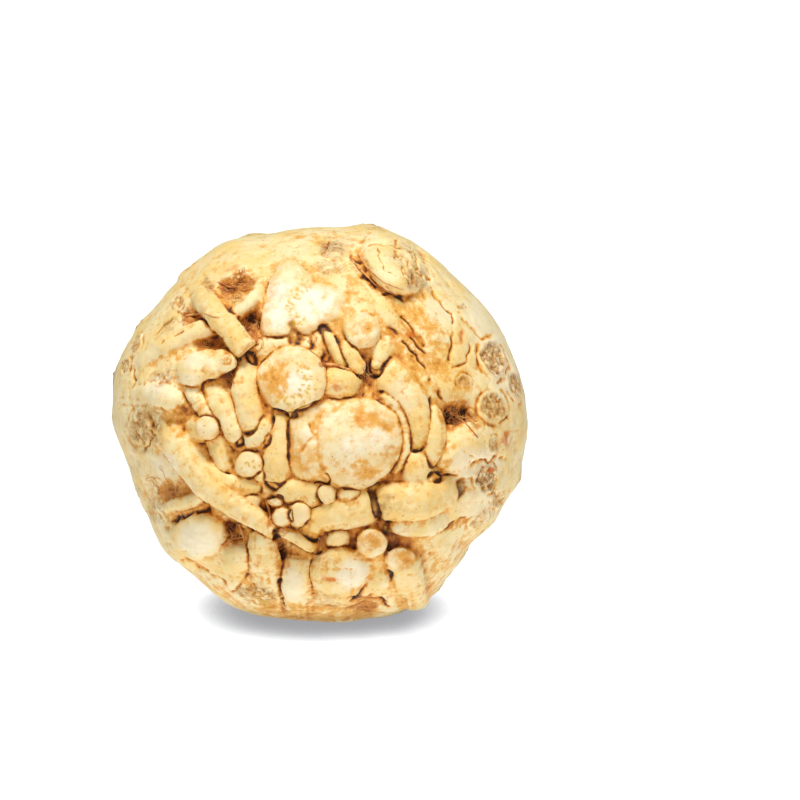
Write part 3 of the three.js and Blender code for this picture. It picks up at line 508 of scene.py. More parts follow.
class LyingRoot(Growth):
    """A root lying on the root end: a ball drawn out along a curve, its tip rounded or cut flat."""

    SIDES = 28
    RING_STEP = 1.1
    LEAST_RINGS = 14
    TIP_LENGTH = 0.84  # of a rounded tip, in radii of the root's end
    SHORTEST_TIP = 0.12  # as a share of the root's length
    BLUNT = 0.18  # how far the edge of a flat cut is rounded, in radii
    SIDE_TILT = 0.8  # how far its sides follow the slope of the root end

    def __init__(self, line, cut):
        self.cut = cut
        self.line = np.array(line, float)
        x, y, radius, rise = self.line.T
        sunk = (radius - rise) / root_end_facing(x, y)
        self.knots = np.column_stack((x, y, root_end_height(x, y) - sunk))
        self.length = np.linalg.norm(np.diff(self.knots, axis=0), axis=1).sum()
        self.tip = max(self.TIP_LENGTH * self.line[-1, 2] / self.length, self.SHORTEST_TIP)
        spots = np.linspace(0, 1, 6 * len(line))
        self.samples = self.centre(spots)
        self.sample_radius = self.radius(spots) * (1 if cut else self.taper(spots))
        self.middle = (self.samples[:, :2].min(0) + self.samples[:, :2].max(0)) / 2
        self.extent = (np.ptp(self.samples[:, :2], axis=0) / 2).max() + radius.max() * ROOT_FATNESS

    def centre(self, along):
        """Smooth curve through the knots."""
        count = len(self.knots)
        padded = np.vstack((2 * self.knots[0] - self.knots[1], self.knots,
                            2 * self.knots[-1] - self.knots[-2]))
        spot = np.clip(along, 0, 1) * (count - 1)
        first = np.minimum(count - 2, spot.astype(int))
        t = (spot - first)[:, None]
        a, b, c, d = (padded[first + i] for i in range(4))
        return 0.5 * (2 * b + (c - a) * t + (2 * a - 5 * b + 4 * c - d) * t ** 2
                      + (3 * b - a - 3 * c + d) * t ** 3)

    def radius(self, along):
        return np.interp(along * (len(self.line) - 1), np.arange(len(self.line)), self.line[:, 2])

    def taper(self, along):
        """Share of the radius that is left along the rounded tip."""
        return np.sqrt(1 - np.clip((along - 1 + self.tip) / self.tip, 0, 1) ** 2)

    def build(self, bm):
        rings = max(self.LEAST_RINGS, int(self.length / self.RING_STEP))
        ball = bmesh.ops.create_uvsphere(bm, u_segments=self.SIDES, v_segments=rings, radius=1)
        turn, share = round_coords(ball["verts"])
        ring = np.round(share * rings)
        if self.cut:
            blunt = self.BLUNT * self.line[-1, 2] / self.length
            along = np.interp(ring, (0, rings - 3, rings - 2, rings), (0, 1 - blunt, 1, 1))
            size = np.interp(ring, (0, 1, rings - 3, rings - 2, rings - 1, rings),
                             (0, 0.8, 1, 0.92, 0.5, 0))
        else:
            along = share
            size = self.taper(along) * np.interp(ring, (0, 1, 2), (0, 0.8, 1))
        radius = self.radius(along) * size
        centre = self.centre(along)
        tangent = self.centre(along + 0.01) - self.centre(along - 0.01)
        tangent /= np.linalg.norm(tangent, axis=1)[:, None]
        x, y, z = centre.T
        sideways = np.cross(tangent, (0, 0, 1))
        sideways /= np.linalg.norm(sideways, axis=1)[:, None]
        slope_across, slope_up = root_end_slope(x, y)
        tilt = sideways[:, 0] * slope_across + sideways[:, 1] * slope_up
        tilt = np.clip(tilt, -STEEPEST_TILT, STEEPEST_TILT)
        outwards = np.cross(sideways + tilt[:, None] * (0, 0, 1), tangent)
        outwards /= np.linalg.norm(outwards, axis=1)[:, None]
        sideways = sideways + self.SIDE_TILT * tilt[:, None] * (0, 0, 1)
        to_floor = z - root_end_height(x, y) - relief(x, y)
        below = np.maximum(radius, (to_floor + ROOTED) * size)
        up = np.cos(turn)
        put(ball["verts"], centre
            + sideways * (np.sin(turn) * radius * ROOT_FATNESS)[:, None]
            + outwards * (up * np.where(up > 0, radius, below))[:, None])

    def distance(self, points):
        gap = points[:, None, :] - self.samples[None]
        gap[..., :2] /= ROOT_FATNESS
        gap[..., 2] = np.maximum(0, gap[..., 2])
        away = (np.linalg.norm(gap, axis=2) - self.sample_radius).min(axis=1)
        if self.cut:
            away = np.maximum(away, self.ahead(points)[0])
        return away

    def grain(self, points):
        """Distance along the root and sideways from its middle line."""
        gap = np.linalg.norm(points[:, None, :2] - self.samples[None, :, :2], axis=2)
        near = np.sort(np.argpartition(gap, 1, axis=1)[:, :2], axis=1)
        a, b = self.samples[near[:, 0], :2], self.samples[near[:, 1], :2]
        step = b - a
        offset = points[:, :2] - a
        size = (step ** 2).sum(1)
        share = np.clip((offset * step).sum(1) / size, 0, 1)
        along = self.length * (near[:, 0] + share * (near[:, 1] - near[:, 0])) / (len(self.samples) - 1)
        return along, (offset[:, 1] * step[:, 0] - offset[:, 0] * step[:, 1]) / np.sqrt(size)

    def ahead(self, points):
        """Distance past the tip's plane, and distance from its middle within that plane."""
        tangent = self.samples[-1] - self.samples[-2]
        tangent /= np.linalg.norm(tangent)
        ahead = (points - self.samples[-1]) @ tangent
        away = points - self.samples[-1] - ahead[:, None] * tangent
        return ahead, np.linalg.norm(away, axis=1)

    def face(self, points):
        if not self.cut:
            return super().face(points)
        ahead, away = self.ahead(points)
        rim = away / self.sample_radius[-1]
        return smoothstep(ahead, -0.55, -0.15) * (1 - smoothstep(rim, 1.1, 1.3)), rim


class EndOnRoot(Growth):
    """A root cut off end on: a short stem whose nearly flat face looks out of the root end."""

    SIDES = 56
    RINGS = 22
    ROUNDED_RINGS = 11  # of them on the face and its rounded edge
    ROUNDING = (1.5, 0.3)  # of that edge: at most, and as a share of the radius

    def __init__(self, edge, rise, tilt, dome):
        edge = np.array(edge, float)
        self.middle = edge.mean(0)
        spokes = edge - self.middle
        angle = np.arctan2(spokes[:, 1], spokes[:, 0])
        order = np.argsort(angle)
        self.angles = angle[order]
        self.radii = np.hypot(*spokes.T)[order]
        self.extent = self.radii.max()
        slope = root_end_slope(*self.middle)
        self.slope = [FACE_FOLLOWS * slope[i] + tilt[i] for i in (0, 1)]
        self.top = root_end_height(*self.middle) + rise + dome / 2
        self.dome = dome

    def edge_radius(self, turn):
        return np.interp(turn, self.angles, self.radii, period=2 * math.pi)

    def face_height(self, x, y):
        across, up = x - self.middle[0], y - self.middle[1]
        reach = np.hypot(across, up) / self.edge_radius(np.arctan2(up, across))
        slope = self.slope[0] * across + self.slope[1] * up
        return self.top + slope - self.dome * np.minimum(reach, 1.1) ** 2

    def build(self, bm):
        ball = bmesh.ops.create_uvsphere(bm, u_segments=self.SIDES, v_segments=self.RINGS, radius=1)
        turn, share = round_coords(ball["verts"])
        ring = np.round(share * self.RINGS)
        edge = self.edge_radius(turn)
        rounding = np.minimum(self.ROUNDING[0], self.ROUNDING[1] * edge)
        size = np.interp(ring, (0, 8, 9, 10, 11, self.RINGS - 2, self.RINGS),
                         (0, 0.84, 0.91, 0.97, 1, 1.04, 0)) * edge
        drop = np.interp(ring, (0, 7, 8, 9, 10, 11, self.RINGS - 2, self.RINGS),
                         (0, 0, 0.1, 0.28, 0.6, 1, STEM_DEPTH, STEM_DEPTH))
        drop = np.where(ring <= self.ROUNDED_RINGS, drop * rounding, drop)
        x = self.middle[0] + size * np.cos(turn)
        y = self.middle[1] + size * np.sin(turn)
        put(ball["verts"], np.column_stack((x, y, self.face_height(x, y) - drop)))

    def spokes(self, points):
        """Distance from the middle of the face, and the face's own radius in that direction."""
        away = points[:, :2] - self.middle
        return np.hypot(*away.T), self.edge_radius(np.arctan2(away[:, 1], away[:, 0]))

    def distance(self, points):
        reach, edge = self.spokes(points)
        over = points[:, 2] - self.face_height(points[:, 0], points[:, 1])
        return np.maximum(reach - edge, over - 1.5)

    def grain(self, points):
        spokes = points[:, :2] - self.middle
        return points[:, 2], np.hypot(*spokes.T) * np.arctan2(spokes[:, 1], spokes[:, 0])

    def face(self, points):
        reach, edge = self.spokes(points)
        rim = reach / edge
        over = np.abs(points[:, 2] - self.face_height(points[:, 0], points[:, 1]))
        return (1 - smoothstep(over, 1, 1.8)) * (1 - smoothstep(rim, 0.93, 1.03)), rim


class Lump(Growth):
    """A rounded lump that tilts with the surface and whose lower half reaches well into the body."""

    def __init__(self, x, y, half_width, half_height, thickness, turn, rise):
        self.middle = np.array((x, y), float)
        self.slope = np.clip(root_end_slope(x, y), -STEEPEST_TILT, STEEPEST_TILT)
        facing = root_end_facing(x, y)
        self.size = np.array((half_width, half_height, thickness / facing), float)
        under = (thickness - rise) / facing
        self.below = max(self.size[2], ROOTED - under - relief(x, y))
        self.centre = np.array((x, y, root_end_height(x, y) - under))
        self.extent = max(half_width, half_height)
        cos, sin = math.cos(math.radians(turn)), math.sin(math.radians(turn))
        self.axes = np.array(((cos, sin, 0), (-sin, cos, 0), (0, 0, 1)))

    def build(self, bm):
        ball = bmesh.ops.create_icosphere(bm, subdivisions=4, radius=1)
        co = np.array([vert.co for vert in ball["verts"]])
        sizes = np.where(co[:, 2:] > 0, self.size, (*self.size[:2], self.below))
        offset = (co * sizes) @ self.axes
        offset[:, 2] += offset[:, :2] @ self.slope
        put(ball["verts"], self.centre + offset)

    def distance(self, points):
        offset = points - self.centre
        offset[:, 2] -= offset[:, :2] @ self.slope
        local = offset @ self.axes.T / self.size
        local[:, 2] = np.maximum(0, local[:, 2])
        return (np.linalg.norm(local, axis=1) - 1) * self.size.min()

    def grain(self, points):
        return (points[:, :2] - self.middle).T


class StalkStump(Growth):
    """One leaf stalk stump: a short crescent in section, wrapped around the crown's middle."""

    SIDES = 40
    RINGS = 16

    def __init__(self, index):
        share = index / (CROWN["stumps"] - 1)
        self.from_middle = CROWN["first"] + (CROWN["last"] - CROWN["first"]) * math.sqrt(share)
        self.turn = math.radians(index * CROWN["turn"])
        self.half_width, self.half_thickness, self.rise = (
            np.interp(share, (0, 1), CROWN[name]) for name in ("half_width", "half_thickness", "rise"))
        self.middle = self.from_middle * np.array((math.cos(self.turn), math.sin(self.turn)))
        self.extent = self.half_width + 1

    def build(self, bm):
        ball = bmesh.ops.create_uvsphere(bm, u_segments=self.SIDES, v_segments=self.RINGS, radius=1)
        around, share = round_coords(ball["verts"])
        ring = np.round(share * self.RINGS)
        under = self.RINGS - 5
        size = np.interp(ring, (0, 1, 2, under, under + 1, self.RINGS), (0, 0.9, 1, 0.88, 0.8, 0))
        height = np.interp(ring, (0, 1, under, under + 1, self.RINGS), (0, 0, 0.94, 1, 0.96))
        radius = self.from_middle + size * np.sin(around) * self.half_thickness
        angle = self.turn - size * np.cos(around) * self.half_width / self.from_middle
        floor = crown_height(radius) + CROWN["root"]
        z = floor - height * (CROWN["root"] + self.rise)
        put(ball["verts"], np.column_stack((radius * np.cos(angle), radius * np.sin(angle), z)))

    def local(self, points):
        radius = np.hypot(points[:, 0], points[:, 1])
        turn = np.arctan2(points[:, 1], points[:, 0]) - self.turn
        turn = (turn + math.pi) % (2 * math.pi) - math.pi
        across = turn * self.from_middle / self.half_width
        return np.hypot(across, (radius - self.from_middle) / self.half_thickness), radius

    def distance(self, points):
        return (self.local(points)[0] - 0.9) * self.half_thickness

    def grain(self, points):
        return points[:, 2], self.from_middle * np.arctan2(points[:, 1], points[:, 0])

    def face(self, points):
        rim, radius = self.local(points)
        over = crown_height(radius) - self.rise - points[:, 2]
        return smoothstep(over, -0.9, -0.3) * (1 - smoothstep(rim, 0.8, 0.95)), rim / 0.88


def oval_edge(x, y, half_width, half_height, points=24):
    turns = np.linspace(0, 2 * math.pi, points, endpoint=False)
    return np.column_stack((x + half_width * np.cos(turns), y + half_height * np.sin(turns)))


def growths():
    """Every root, lump and stump with the name of its group. A crack opens between groups."""
    made = [(LyingRoot(line, cut), group) for line, cut, group in LYING_ROOTS]
    made += [(EndOnRoot(oval_edge(*oval), *face), group) for *oval, face, group in END_ON_ROOTS]
    made += [(EndOnRoot(edge, *face), group) for edge, face, group in SHAPED_CUTS]
    made += [(Lump(*sizes), group) for *sizes, group in LUMPS]
    made += [(StalkStump(index), None) for index in range(CROWN["stumps"])]
    return made


def placed(name, data):
    thing = bpy.data.objects.new(name, data)
    bpy.context.scene.collection.objects.link(thing)
    return thing


def made_plain(thing):
    """The mesh that an object comes out as. The object itself goes."""
    mesh = bpy.data.meshes.new_from_object(thing.evaluated_get(bpy.context.evaluated_depsgraph_get()))
    bpy.data.objects.remove(thing)
    return mesh


def grow_mesh(made, voxel):
    """The body and all that grows out of it, fused into one skin."""
    whole = bmesh.new()
    body = bmesh.ops.create_icosphere(whole, subdivisions=6, radius=1)
    put(body["verts"], body_points(np.array([vert.co for vert in body["verts"]])))
    bud = bmesh.ops.create_icosphere(whole, subdivisions=3, radius=CROWN["bud"])
    bmesh.ops.translate(whole, verts=bud["verts"], vec=(0, 0, float(crown_height(0))))
    mesh = bpy.data.meshes.new("grown")
    for growth, _ in made:
        bm = bmesh.new()
        growth.build(bm)
        bm.to_mesh(mesh)
        bm.free()
        whole.from_mesh(mesh)
    whole.to_mesh(mesh)
    whole.free()
    grown = placed("grown", mesh)
    fuse = grown.modifiers.new("fuse", "REMESH")
    fuse.mode = "VOXEL"
    fuse.voxel_size = voxel
    skin = made_plain(grown)
    bpy.data.meshes.remove(mesh)
    return skin


def values_of(items, name, width, kind=float):
    """One value of every item of a mesh, as an array."""
    values = np.empty(width * len(items), kind)
    items.foreach_get(name, values)
    return values.reshape(-1, width)


def mesh_points(mesh):
    return values_of(mesh.vertices, "co", 3)


def mesh_normals(mesh):
    return values_of(mesh.vertices, "normal", 3)


def set_points(mesh, points):
    mesh.vertices.foreach_set("co", points.ravel())
    mesh.update()


def smoothed(values, edges, rounds):
    """Values shared out to their neighbours along the edges, again and again."""
    first, second = edges.T
    count = np.bincount(edges.ravel(), minlength=len(values))
    for _ in range(rounds):
        mean = [(np.bincount(first, column[second], len(values))
                 + np.bincount(second, column[first], len(values))) / count for column in values.T]
        values = (values + np.column_stack(mean)) / 2
    return values


def sunk(mesh, points, edges, rounds):
    """How far each point lies below the skin smoothed that many times."""
    return ((smoothed(points, edges, rounds) - points) * mesh_normals(mesh)).sum(1)


def lifted(mesh, points, rise):
    return points + mesh_normals(mesh) * rise[:, None]


def survey(points, made):
    """How near each point is to the nearest group and the next, with that growth's own facts."""
    groups = {}
    for index, (growth, group) in enumerate(made):
        groups.setdefault(group or index, []).append((index, growth))
    count = len(points)
    facts = {name: np.zeros(count) for name in ("along", "across", "face", "rim")}
    facts.update(near=np.full(count, FAR), next=np.full(count, FAR), owner=np.full(count, -1))
    for members in groups.values():
        nearest = np.full(count, FAR)
        owner = np.full(count, -1)
        for index, growth in members:
            side = points[:, 2] < 0 if isinstance(growth, StalkStump) else points[:, 2] > 0
            close = side & (np.abs(points[:, :2] - growth.middle) < growth.extent + 4).all(1)
            picked = np.flatnonzero(close)
            away = growth.distance(points[picked])
            nearer = away < nearest[picked]
            nearest[picked] = np.where(nearer, away, nearest[picked])
            owner[picked] = np.where(nearer, index, owner[picked])
            face, rim = growth.face(points[picked])
            better = face > facts["face"][picked]
            facts["rim"][picked] = np.where(better, rim, facts["rim"][picked])
            facts["face"][picked] = np.maximum(face, facts["face"][picked])
        closer = nearest < facts["near"]
        facts["next"] = np.where(closer, facts["near"], np.minimum(facts["next"], nearest))
        facts["owner"] = np.where(closer, owner, facts["owner"])
        facts["near"] = np.minimum(facts["near"], nearest)
    for index, (growth, _) in enumerate(made):
        picked = np.flatnonzero((facts["owner"] == index) & (facts["near"] < 3))
        if len(picked):
            facts["along"][picked], facts["across"][picked] = growth.grain(points[picked])
    return facts


def marks(points, table, seed):
    """How strongly the listed marks cover each point of the root end, with wandering edges."""
    x, y = wandered(points, 1.1, 3, seed).T
    cover = np.zeros(len(points))
    for *oval, strength in table:
        cover = np.maximum(cover, strength * (1 - smoothstep(oval_reach(x, y, oval), 0.55, 1.15)))
    return cover * smoothstep(points[:, 2], 0, 12)


def scar_cover(points):
    directions = points / np.linalg.norm(points, axis=1)[:, None]
    wander = 1.2 * noise(points, 2.5, 31)
    cover = np.zeros(len(points))
    for direction, radius, _ in draw_scars():
        away = 60 * np.linalg.norm(directions - direction, axis=1)
        cover = np.maximum(cover, 1 - smoothstep(away + wander, 0.4 * radius, radius))
    return cover * (1 - smoothstep(directions[:, 2], 0, SCARS["up_to"]))


def eye_shapes(points):
    """Rim, corky middle and crisp edge of every round scar, from 0 to 1."""
    x, y = wandered(points, 0.7, 2.4, 81).T
    rim, scab, edge = np.zeros((3, len(points)))
    for *oval, height in EYES:
        reach = oval_reach(x, y, oval)
        rim = np.maximum(rim, height * np.exp(-((reach - 0.78) / 0.2) ** 2))
        scab = np.maximum(scab, min(1, height) * (1 - smoothstep(reach, 0.6, 0.92)))
        edge = np.maximum(edge, min(1, height) * np.exp(-((reach - 1) / 0.13) ** 2))
    front = smoothstep(points[:, 2], 2, 12)
    edge *= smoothstep(noise(points, 3.5, 83), -0.5, 0.2) * smoothstep(points[:, 2], 6, 18)
    return rim * front, scab * front, edge * front


def groove_shapes(points):
    """Depth of the grooves at each point, with slightly wandering lines."""
    spots = wandered(points, 0.9, 2.6, 84)
    cover = np.zeros(len(points))
    for line, half_width, depth in GROOVES:
        knots = np.array(line, float)
        near = ((spots > knots.min(0) - 4) & (spots < knots.max(0) + 4)).all(1) & (points[:, 2] > 0)
        picked = np.flatnonzero(near)
        away = np.full(len(picked), FAR)
        for a, b in zip(knots, knots[1:]):
            step = b - a
            offset = spots[picked] - a
            share = np.clip(offset @ step / (step @ step), 0, 1)
            away = np.minimum(away, np.linalg.norm(offset - share[:, None] * step, axis=1))
        cover[picked] = np.maximum(cover[picked], depth * np.exp(-(away / (0.7 * half_width)) ** 2))
    return cover * smoothstep(noise(points, 2.2, 86), -0.7, 0.1) * smoothstep(points[:, 2], 6, 18)


def fleck_cover(points):
    """Small yellow flecks strewn along the arcs of the cut faces."""
    draw = np.random.default_rng(SEEDS["flecks"])
    cover = np.zeros(len(points))
    for x, y, radius, first, last, count in FLECKS:
        for turn in np.radians(np.linspace(first, last, count) + draw.uniform(-9, 9, count)):
            reach = radius + draw.normal(0, 0.9)
            gap = points[:, :2] - (x + reach * math.cos(turn), y + reach * math.sin(turn))
            outwards = gap @ (math.cos(turn), math.sin(turn)) / draw.uniform(0.4, 0.8)
            sideways = gap @ (-math.sin(turn), math.cos(turn)) / draw.uniform(0.25, 0.45)
            cover = np.maximum(cover, 1 - smoothstep(np.hypot(outwards, sideways), 0.5, 1.2))
    return cover * (points[:, 2] > 0)


def carve_and_paint(mesh, made, tones):
    """Opens the cracks between the roots, adds the fine relief, and stores what the material reads."""
    edges = values_of(mesh.edges, "vertices", 2, np.int32)
    points = smoothed(mesh_points(mesh), edges, 3)
    set_points(mesh, points)
    filled = sunk(mesh, points, edges, 40)
    points = lifted(mesh, points, CREASE_FILL * np.maximum(0, filled) * (points[:, 2] > 0))
    points = smoothed(points, edges, 2)
    set_points(mesh, points)
    facts = survey(points, made)
    x, y, z = points.T
    from_axis = np.hypot(x, y)
    front = smoothstep(z, 2, 12)
    face = facts["face"]
    on_growth = 1 - smoothstep(facts["near"], 0.3, 1.1)
    crack = np.exp(-(facts["next"] / CRACK_WIDTH) ** 2) * on_growth
    depth = np.maximum(0, root_end_height(x, y) - z) * (z > 0)
    eye_rim, scab, eye_edge = eye_shapes(points)
    cork = np.maximum(np.maximum(marks(points, CORK, 11), 0.9 * scar_cover(points)), scab)
    groove = groove_shapes(points)
    lengths = np.array([getattr(growth, "length", 99) for growth, _ in made])
    tip = smoothstep(facts["along"] - lengths[facts["owner"]], -4.5, -1.5) * on_growth

    # Fine relief: bumps all over, rings and strings along the roots, ribs towards the sides
    owner = 7.3 * facts["owner"]
    rings = noise(np.column_stack((facts["along"] / 0.8, facts["across"] / 6, owner)), 1, 5)
    strings = noise(np.column_stack((facts["along"] / 7, facts["across"] / 0.9, owner)), 1, 6)
    turn = np.arctan2(y, x)
    ribs = noise(np.column_stack((np.cos(turn) * 5, np.sin(turn) * 5, from_axis / 22)), 1, 8)
    fissures = smoothstep(1 - np.abs(noise(points, 1.9, 21)), 0.82, 1)
    rise = (RELIEF["swell"] * noise(points, 6, 1) + RELIEF["bump"] * noise(points, 2.6, 2)
            + RELIEF["pimple"] * noise(points, 1.2, 3))
    rise *= 0.45 + 0.55 * front
    rise += (RELIEF["ring"] * rings + RELIEF["string"] * strings) * on_growth * (1 - face) * front
    rise += (RELIEF["rib"] * ribs * smoothstep(from_axis, 26, 42)
             * (1 - smoothstep(from_axis, 50, 61)) * (z > 0))
    rise += cork * (RELIEF["cork"] * noise(points, 1.5, 22) - RELIEF["fissure"] * fissures)
    scab_rise = RELIEF["scab"] * noise(points, 1.1, 23) - RELIEF["scab sunk"]
    rise += RELIEF["eye rim"] * eye_rim + scab * scab_rise - RELIEF["eye edge"] * eye_edge
    rise -= RELIEF["crack"] * crack + groove
    rise += ((1 - on_growth) * smoothstep(depth, 1, 4)
             * (RELIEF["floor"] * noise(points, 1.6, 9) - RELIEF["floor sunk"]))
    points = smoothed(lifted(mesh, points, rise), edges, 1)
    set_points(mesh, points)

    # Stains and painted shade: what browns the skin, from the shape itself, whose hollows, pits and deep
    # places get painted shade, and from the listed marks
    fine = sunk(mesh, points, edges, 8) / 0.16
    wide = sunk(mesh, points, edges, 90) / 0.9
    causes = {
        "root end": (1 - smoothstep(from_axis, 36, 54)) * (z > 0),
        # Painted shade: browner towards the bottom of the root end
        "shade below": smoothstep(-y, 26, 50),
        # Painted shade: browner the deeper a place lies below the plain root end, and in the wide and fine
        # hollows and pits of the shape
        "depth": smoothstep(depth, 0.4, 6),
        "wide hollow shade": np.clip(wide, -0.3, 0.9),
        "fine hollow shade": np.clip(fine, -0.6, 1),
        "pit shade": smoothstep(fine, 0.4, 1.2),
        "gold": marks(points, GOLD, 41),
        # Brown patches, partly painted shade in the dents between the roots
        "brown": marks(points, BROWN_AND_SHADE, 71),
        # Painted shade, with some real brown on the floor between the roots: browner on that floor, in the
        # filled creases and along the cracks
        "floor": smoothstep(facts["near"], 0.3, 1.2) * smoothstep(depth, 1.5, 4),
        "filled": smoothstep(filled, 0.05, 0.9) * on_growth,
        "crack": crack, "groove": groove, "eye edge": eye_edge, "scab": scab, "tip": tip,
        "pale": marks(points, PALE, 51),
    }
    stain_and_shade = sum(STAIN_AND_SHADE[name] * cause for name, cause in causes.items())
    crown = (z < 0) * neck_share(from_axis)
    tip_flecks = tip * smoothstep(noise(points, 0.9, 33), 0.25, 0.6)
    for name, values in {
        "stain_and_shade": stain_and_shade * (1 - STAIN_AND_SHADE["crown"] * crown),
        "crack": crack, "face": face, "rim": facts["rim"],
        "strings": 0.5 + 0.5 * strings * on_growth,
        "tone": np.where(facts["near"] < 1.2, tones[facts["owner"]], 0.4),
        "cork": cork, "pale": causes["pale"],
        "rust": marks(points, RUST, 61),
        "fleck": np.maximum(fleck_cover(points), 0.7 * tip_flecks),
        "back": smoothstep(-z, -18, 12), "crown": crown,
    }.items():
        layer = mesh.attributes.new(name, "FLOAT", "POINT")
        layer.data.foreach_set("value", np.asarray(values, np.float32))
    return smoothstep(points[:, 2], 4, 16)


def thin_out(mesh, keep, most):
    """Fewer triangles where the skin is plain, most of them kept where keep is 1."""
    triangles = 2 * len(mesh.polygons)
    piece = placed("thinned", mesh)
    group = piece.vertex_groups.new(name="plain")
    steps = THINNING["steps"]
    for step in range(steps + 1):
        chosen = np.flatnonzero(np.round(steps * (1 - keep)) == step)
        group.add(chosen.tolist(), THINNING["first"] + THINNING["step"] * step, "REPLACE")
    thin = piece.modifiers.new("thin", "DECIMATE")
    thin.ratio = most / triangles
    thin.vertex_group = "plain"
    thin.vertex_group_factor = THINNING["factor"]
    thinned = made_plain(piece)
    bpy.data.meshes.remove(mesh)
    return thinned


def lay_down(points):
    """Upright millimetres to metres in the frame, never under the surface that the root rests on."""
    cos, sin = math.cos(LAID_BACK), math.sin(LAID_BACK)
    x, y, z = points.T
    laid = np.column_stack((x + CENTRE[0], y * cos - z * sin + CENTRE[1], y * sin + z * cos + CENTRE[2]))
    laid[:, 2] = np.maximum(0, laid[:, 2])
    return MM * laid


def linear(colour):
    """A colour of the picture's kind, as the shader wants it."""
    return [c / 12.92 if c <= 0.04045 else ((c + 0.055) / 1.055) ** 2.4 for c in colour]


class Shader:
    """Adds nodes to a material's tree with short calls."""

    def __init__(self, material):
        material.use_nodes = True
        self.tree = material.node_tree
        self.tree.nodes.clear()
        output = self.tree.nodes.new("ShaderNodeOutputMaterial")
        self.surface = self.tree.nodes.new("ShaderNodeBsdfPrincipled")
        self.tree.links.new(self.surface.outputs[0], output.inputs["Surface"])
        coordinates = self.tree.nodes.new("ShaderNodeTexCoord")
        self.place = coordinates.outputs["Object"]

    def set(self, socket, value):
        if isinstance(value, bpy.types.NodeSocket):
            self.tree.links.new(value, socket)
        elif isinstance(value, (list, tuple)) and len(value) == 3 and socket.type == "RGBA":
            socket.default_value = (*value, 1)
        else:
            socket.default_value = value

    def attribute(self, name):
        node = self.tree.nodes.new("ShaderNodeAttribute")
        node.attribute_name = name
        return node.outputs["Fac"]

    def noise(self, size_mm, detail=3, roughness=0.55, places=None):
        node = self.tree.nodes.new("ShaderNodeTexNoise")
        node.inputs["Scale"].default_value = 1 / (size_mm * MM)
        node.inputs["Detail"].default_value = detail
        node.inputs["Roughness"].default_value = roughness
        self.set(node.inputs["Vector"], places or self.place)
        return node.outputs["Fac"]

    def rings(self, stretch):
        """Places drawn out in rings around the root's own axis."""
        node = self.tree.nodes.new("ShaderNodeMapping")
        node.vector_type = "TEXTURE"
        self.set(node.inputs["Vector"], self.place)
        node.inputs["Rotation"].default_value = (LAID_BACK, 0, 0)
        node.inputs["Scale"].default_value = (stretch, stretch, 1)
        return node.outputs["Vector"]

    def math(self, operation, first, second):
        node = self.tree.nodes.new("ShaderNodeMath")
        node.operation = operation
        self.set(node.inputs[0], first)
        self.set(node.inputs[1], second)
        return node.outputs[0]

    def times(self, first, second):
        return self.math("MULTIPLY", first, second)

    def ramp(self, value, low, high, to_low=0.0, to_high=1.0):
        node = self.tree.nodes.new("ShaderNodeMapRange")
        node.interpolation_type = "SMOOTHSTEP"
        self.set(node.inputs["Value"], value)
        for name, number in zip(("From Min", "From Max", "To Min", "To Max"), (low, high, to_low, to_high)):
            node.inputs[name].default_value = number
        return node.outputs["Result"]

    def mix(self, share, first, second):
        node = self.tree.nodes.new("ShaderNodeMix")
        node.data_type = "RGBA"
        self.set(node.inputs["Factor"], share)
        self.set(node.inputs["A"], first)
        self.set(node.inputs["B"], second)
        return node.outputs["Result"]

    def bump(self, height, strength, distance_mm):
        node = self.tree.nodes.new("ShaderNodeBump")
        node.inputs["Strength"].default_value = strength
        node.inputs["Distance"].default_value = distance_mm * MM
        self.set(node.inputs["Height"], height)
        self.set(self.surface.inputs["Normal"], node.outputs["Normal"])


# How far light runs on under the skin, most of all the red
FLESH_GLOW = {"Subsurface Weight": 0.3, "Subsurface Radius": (1.0, 0.5, 0.2), "Subsurface Scale": 0.0022}


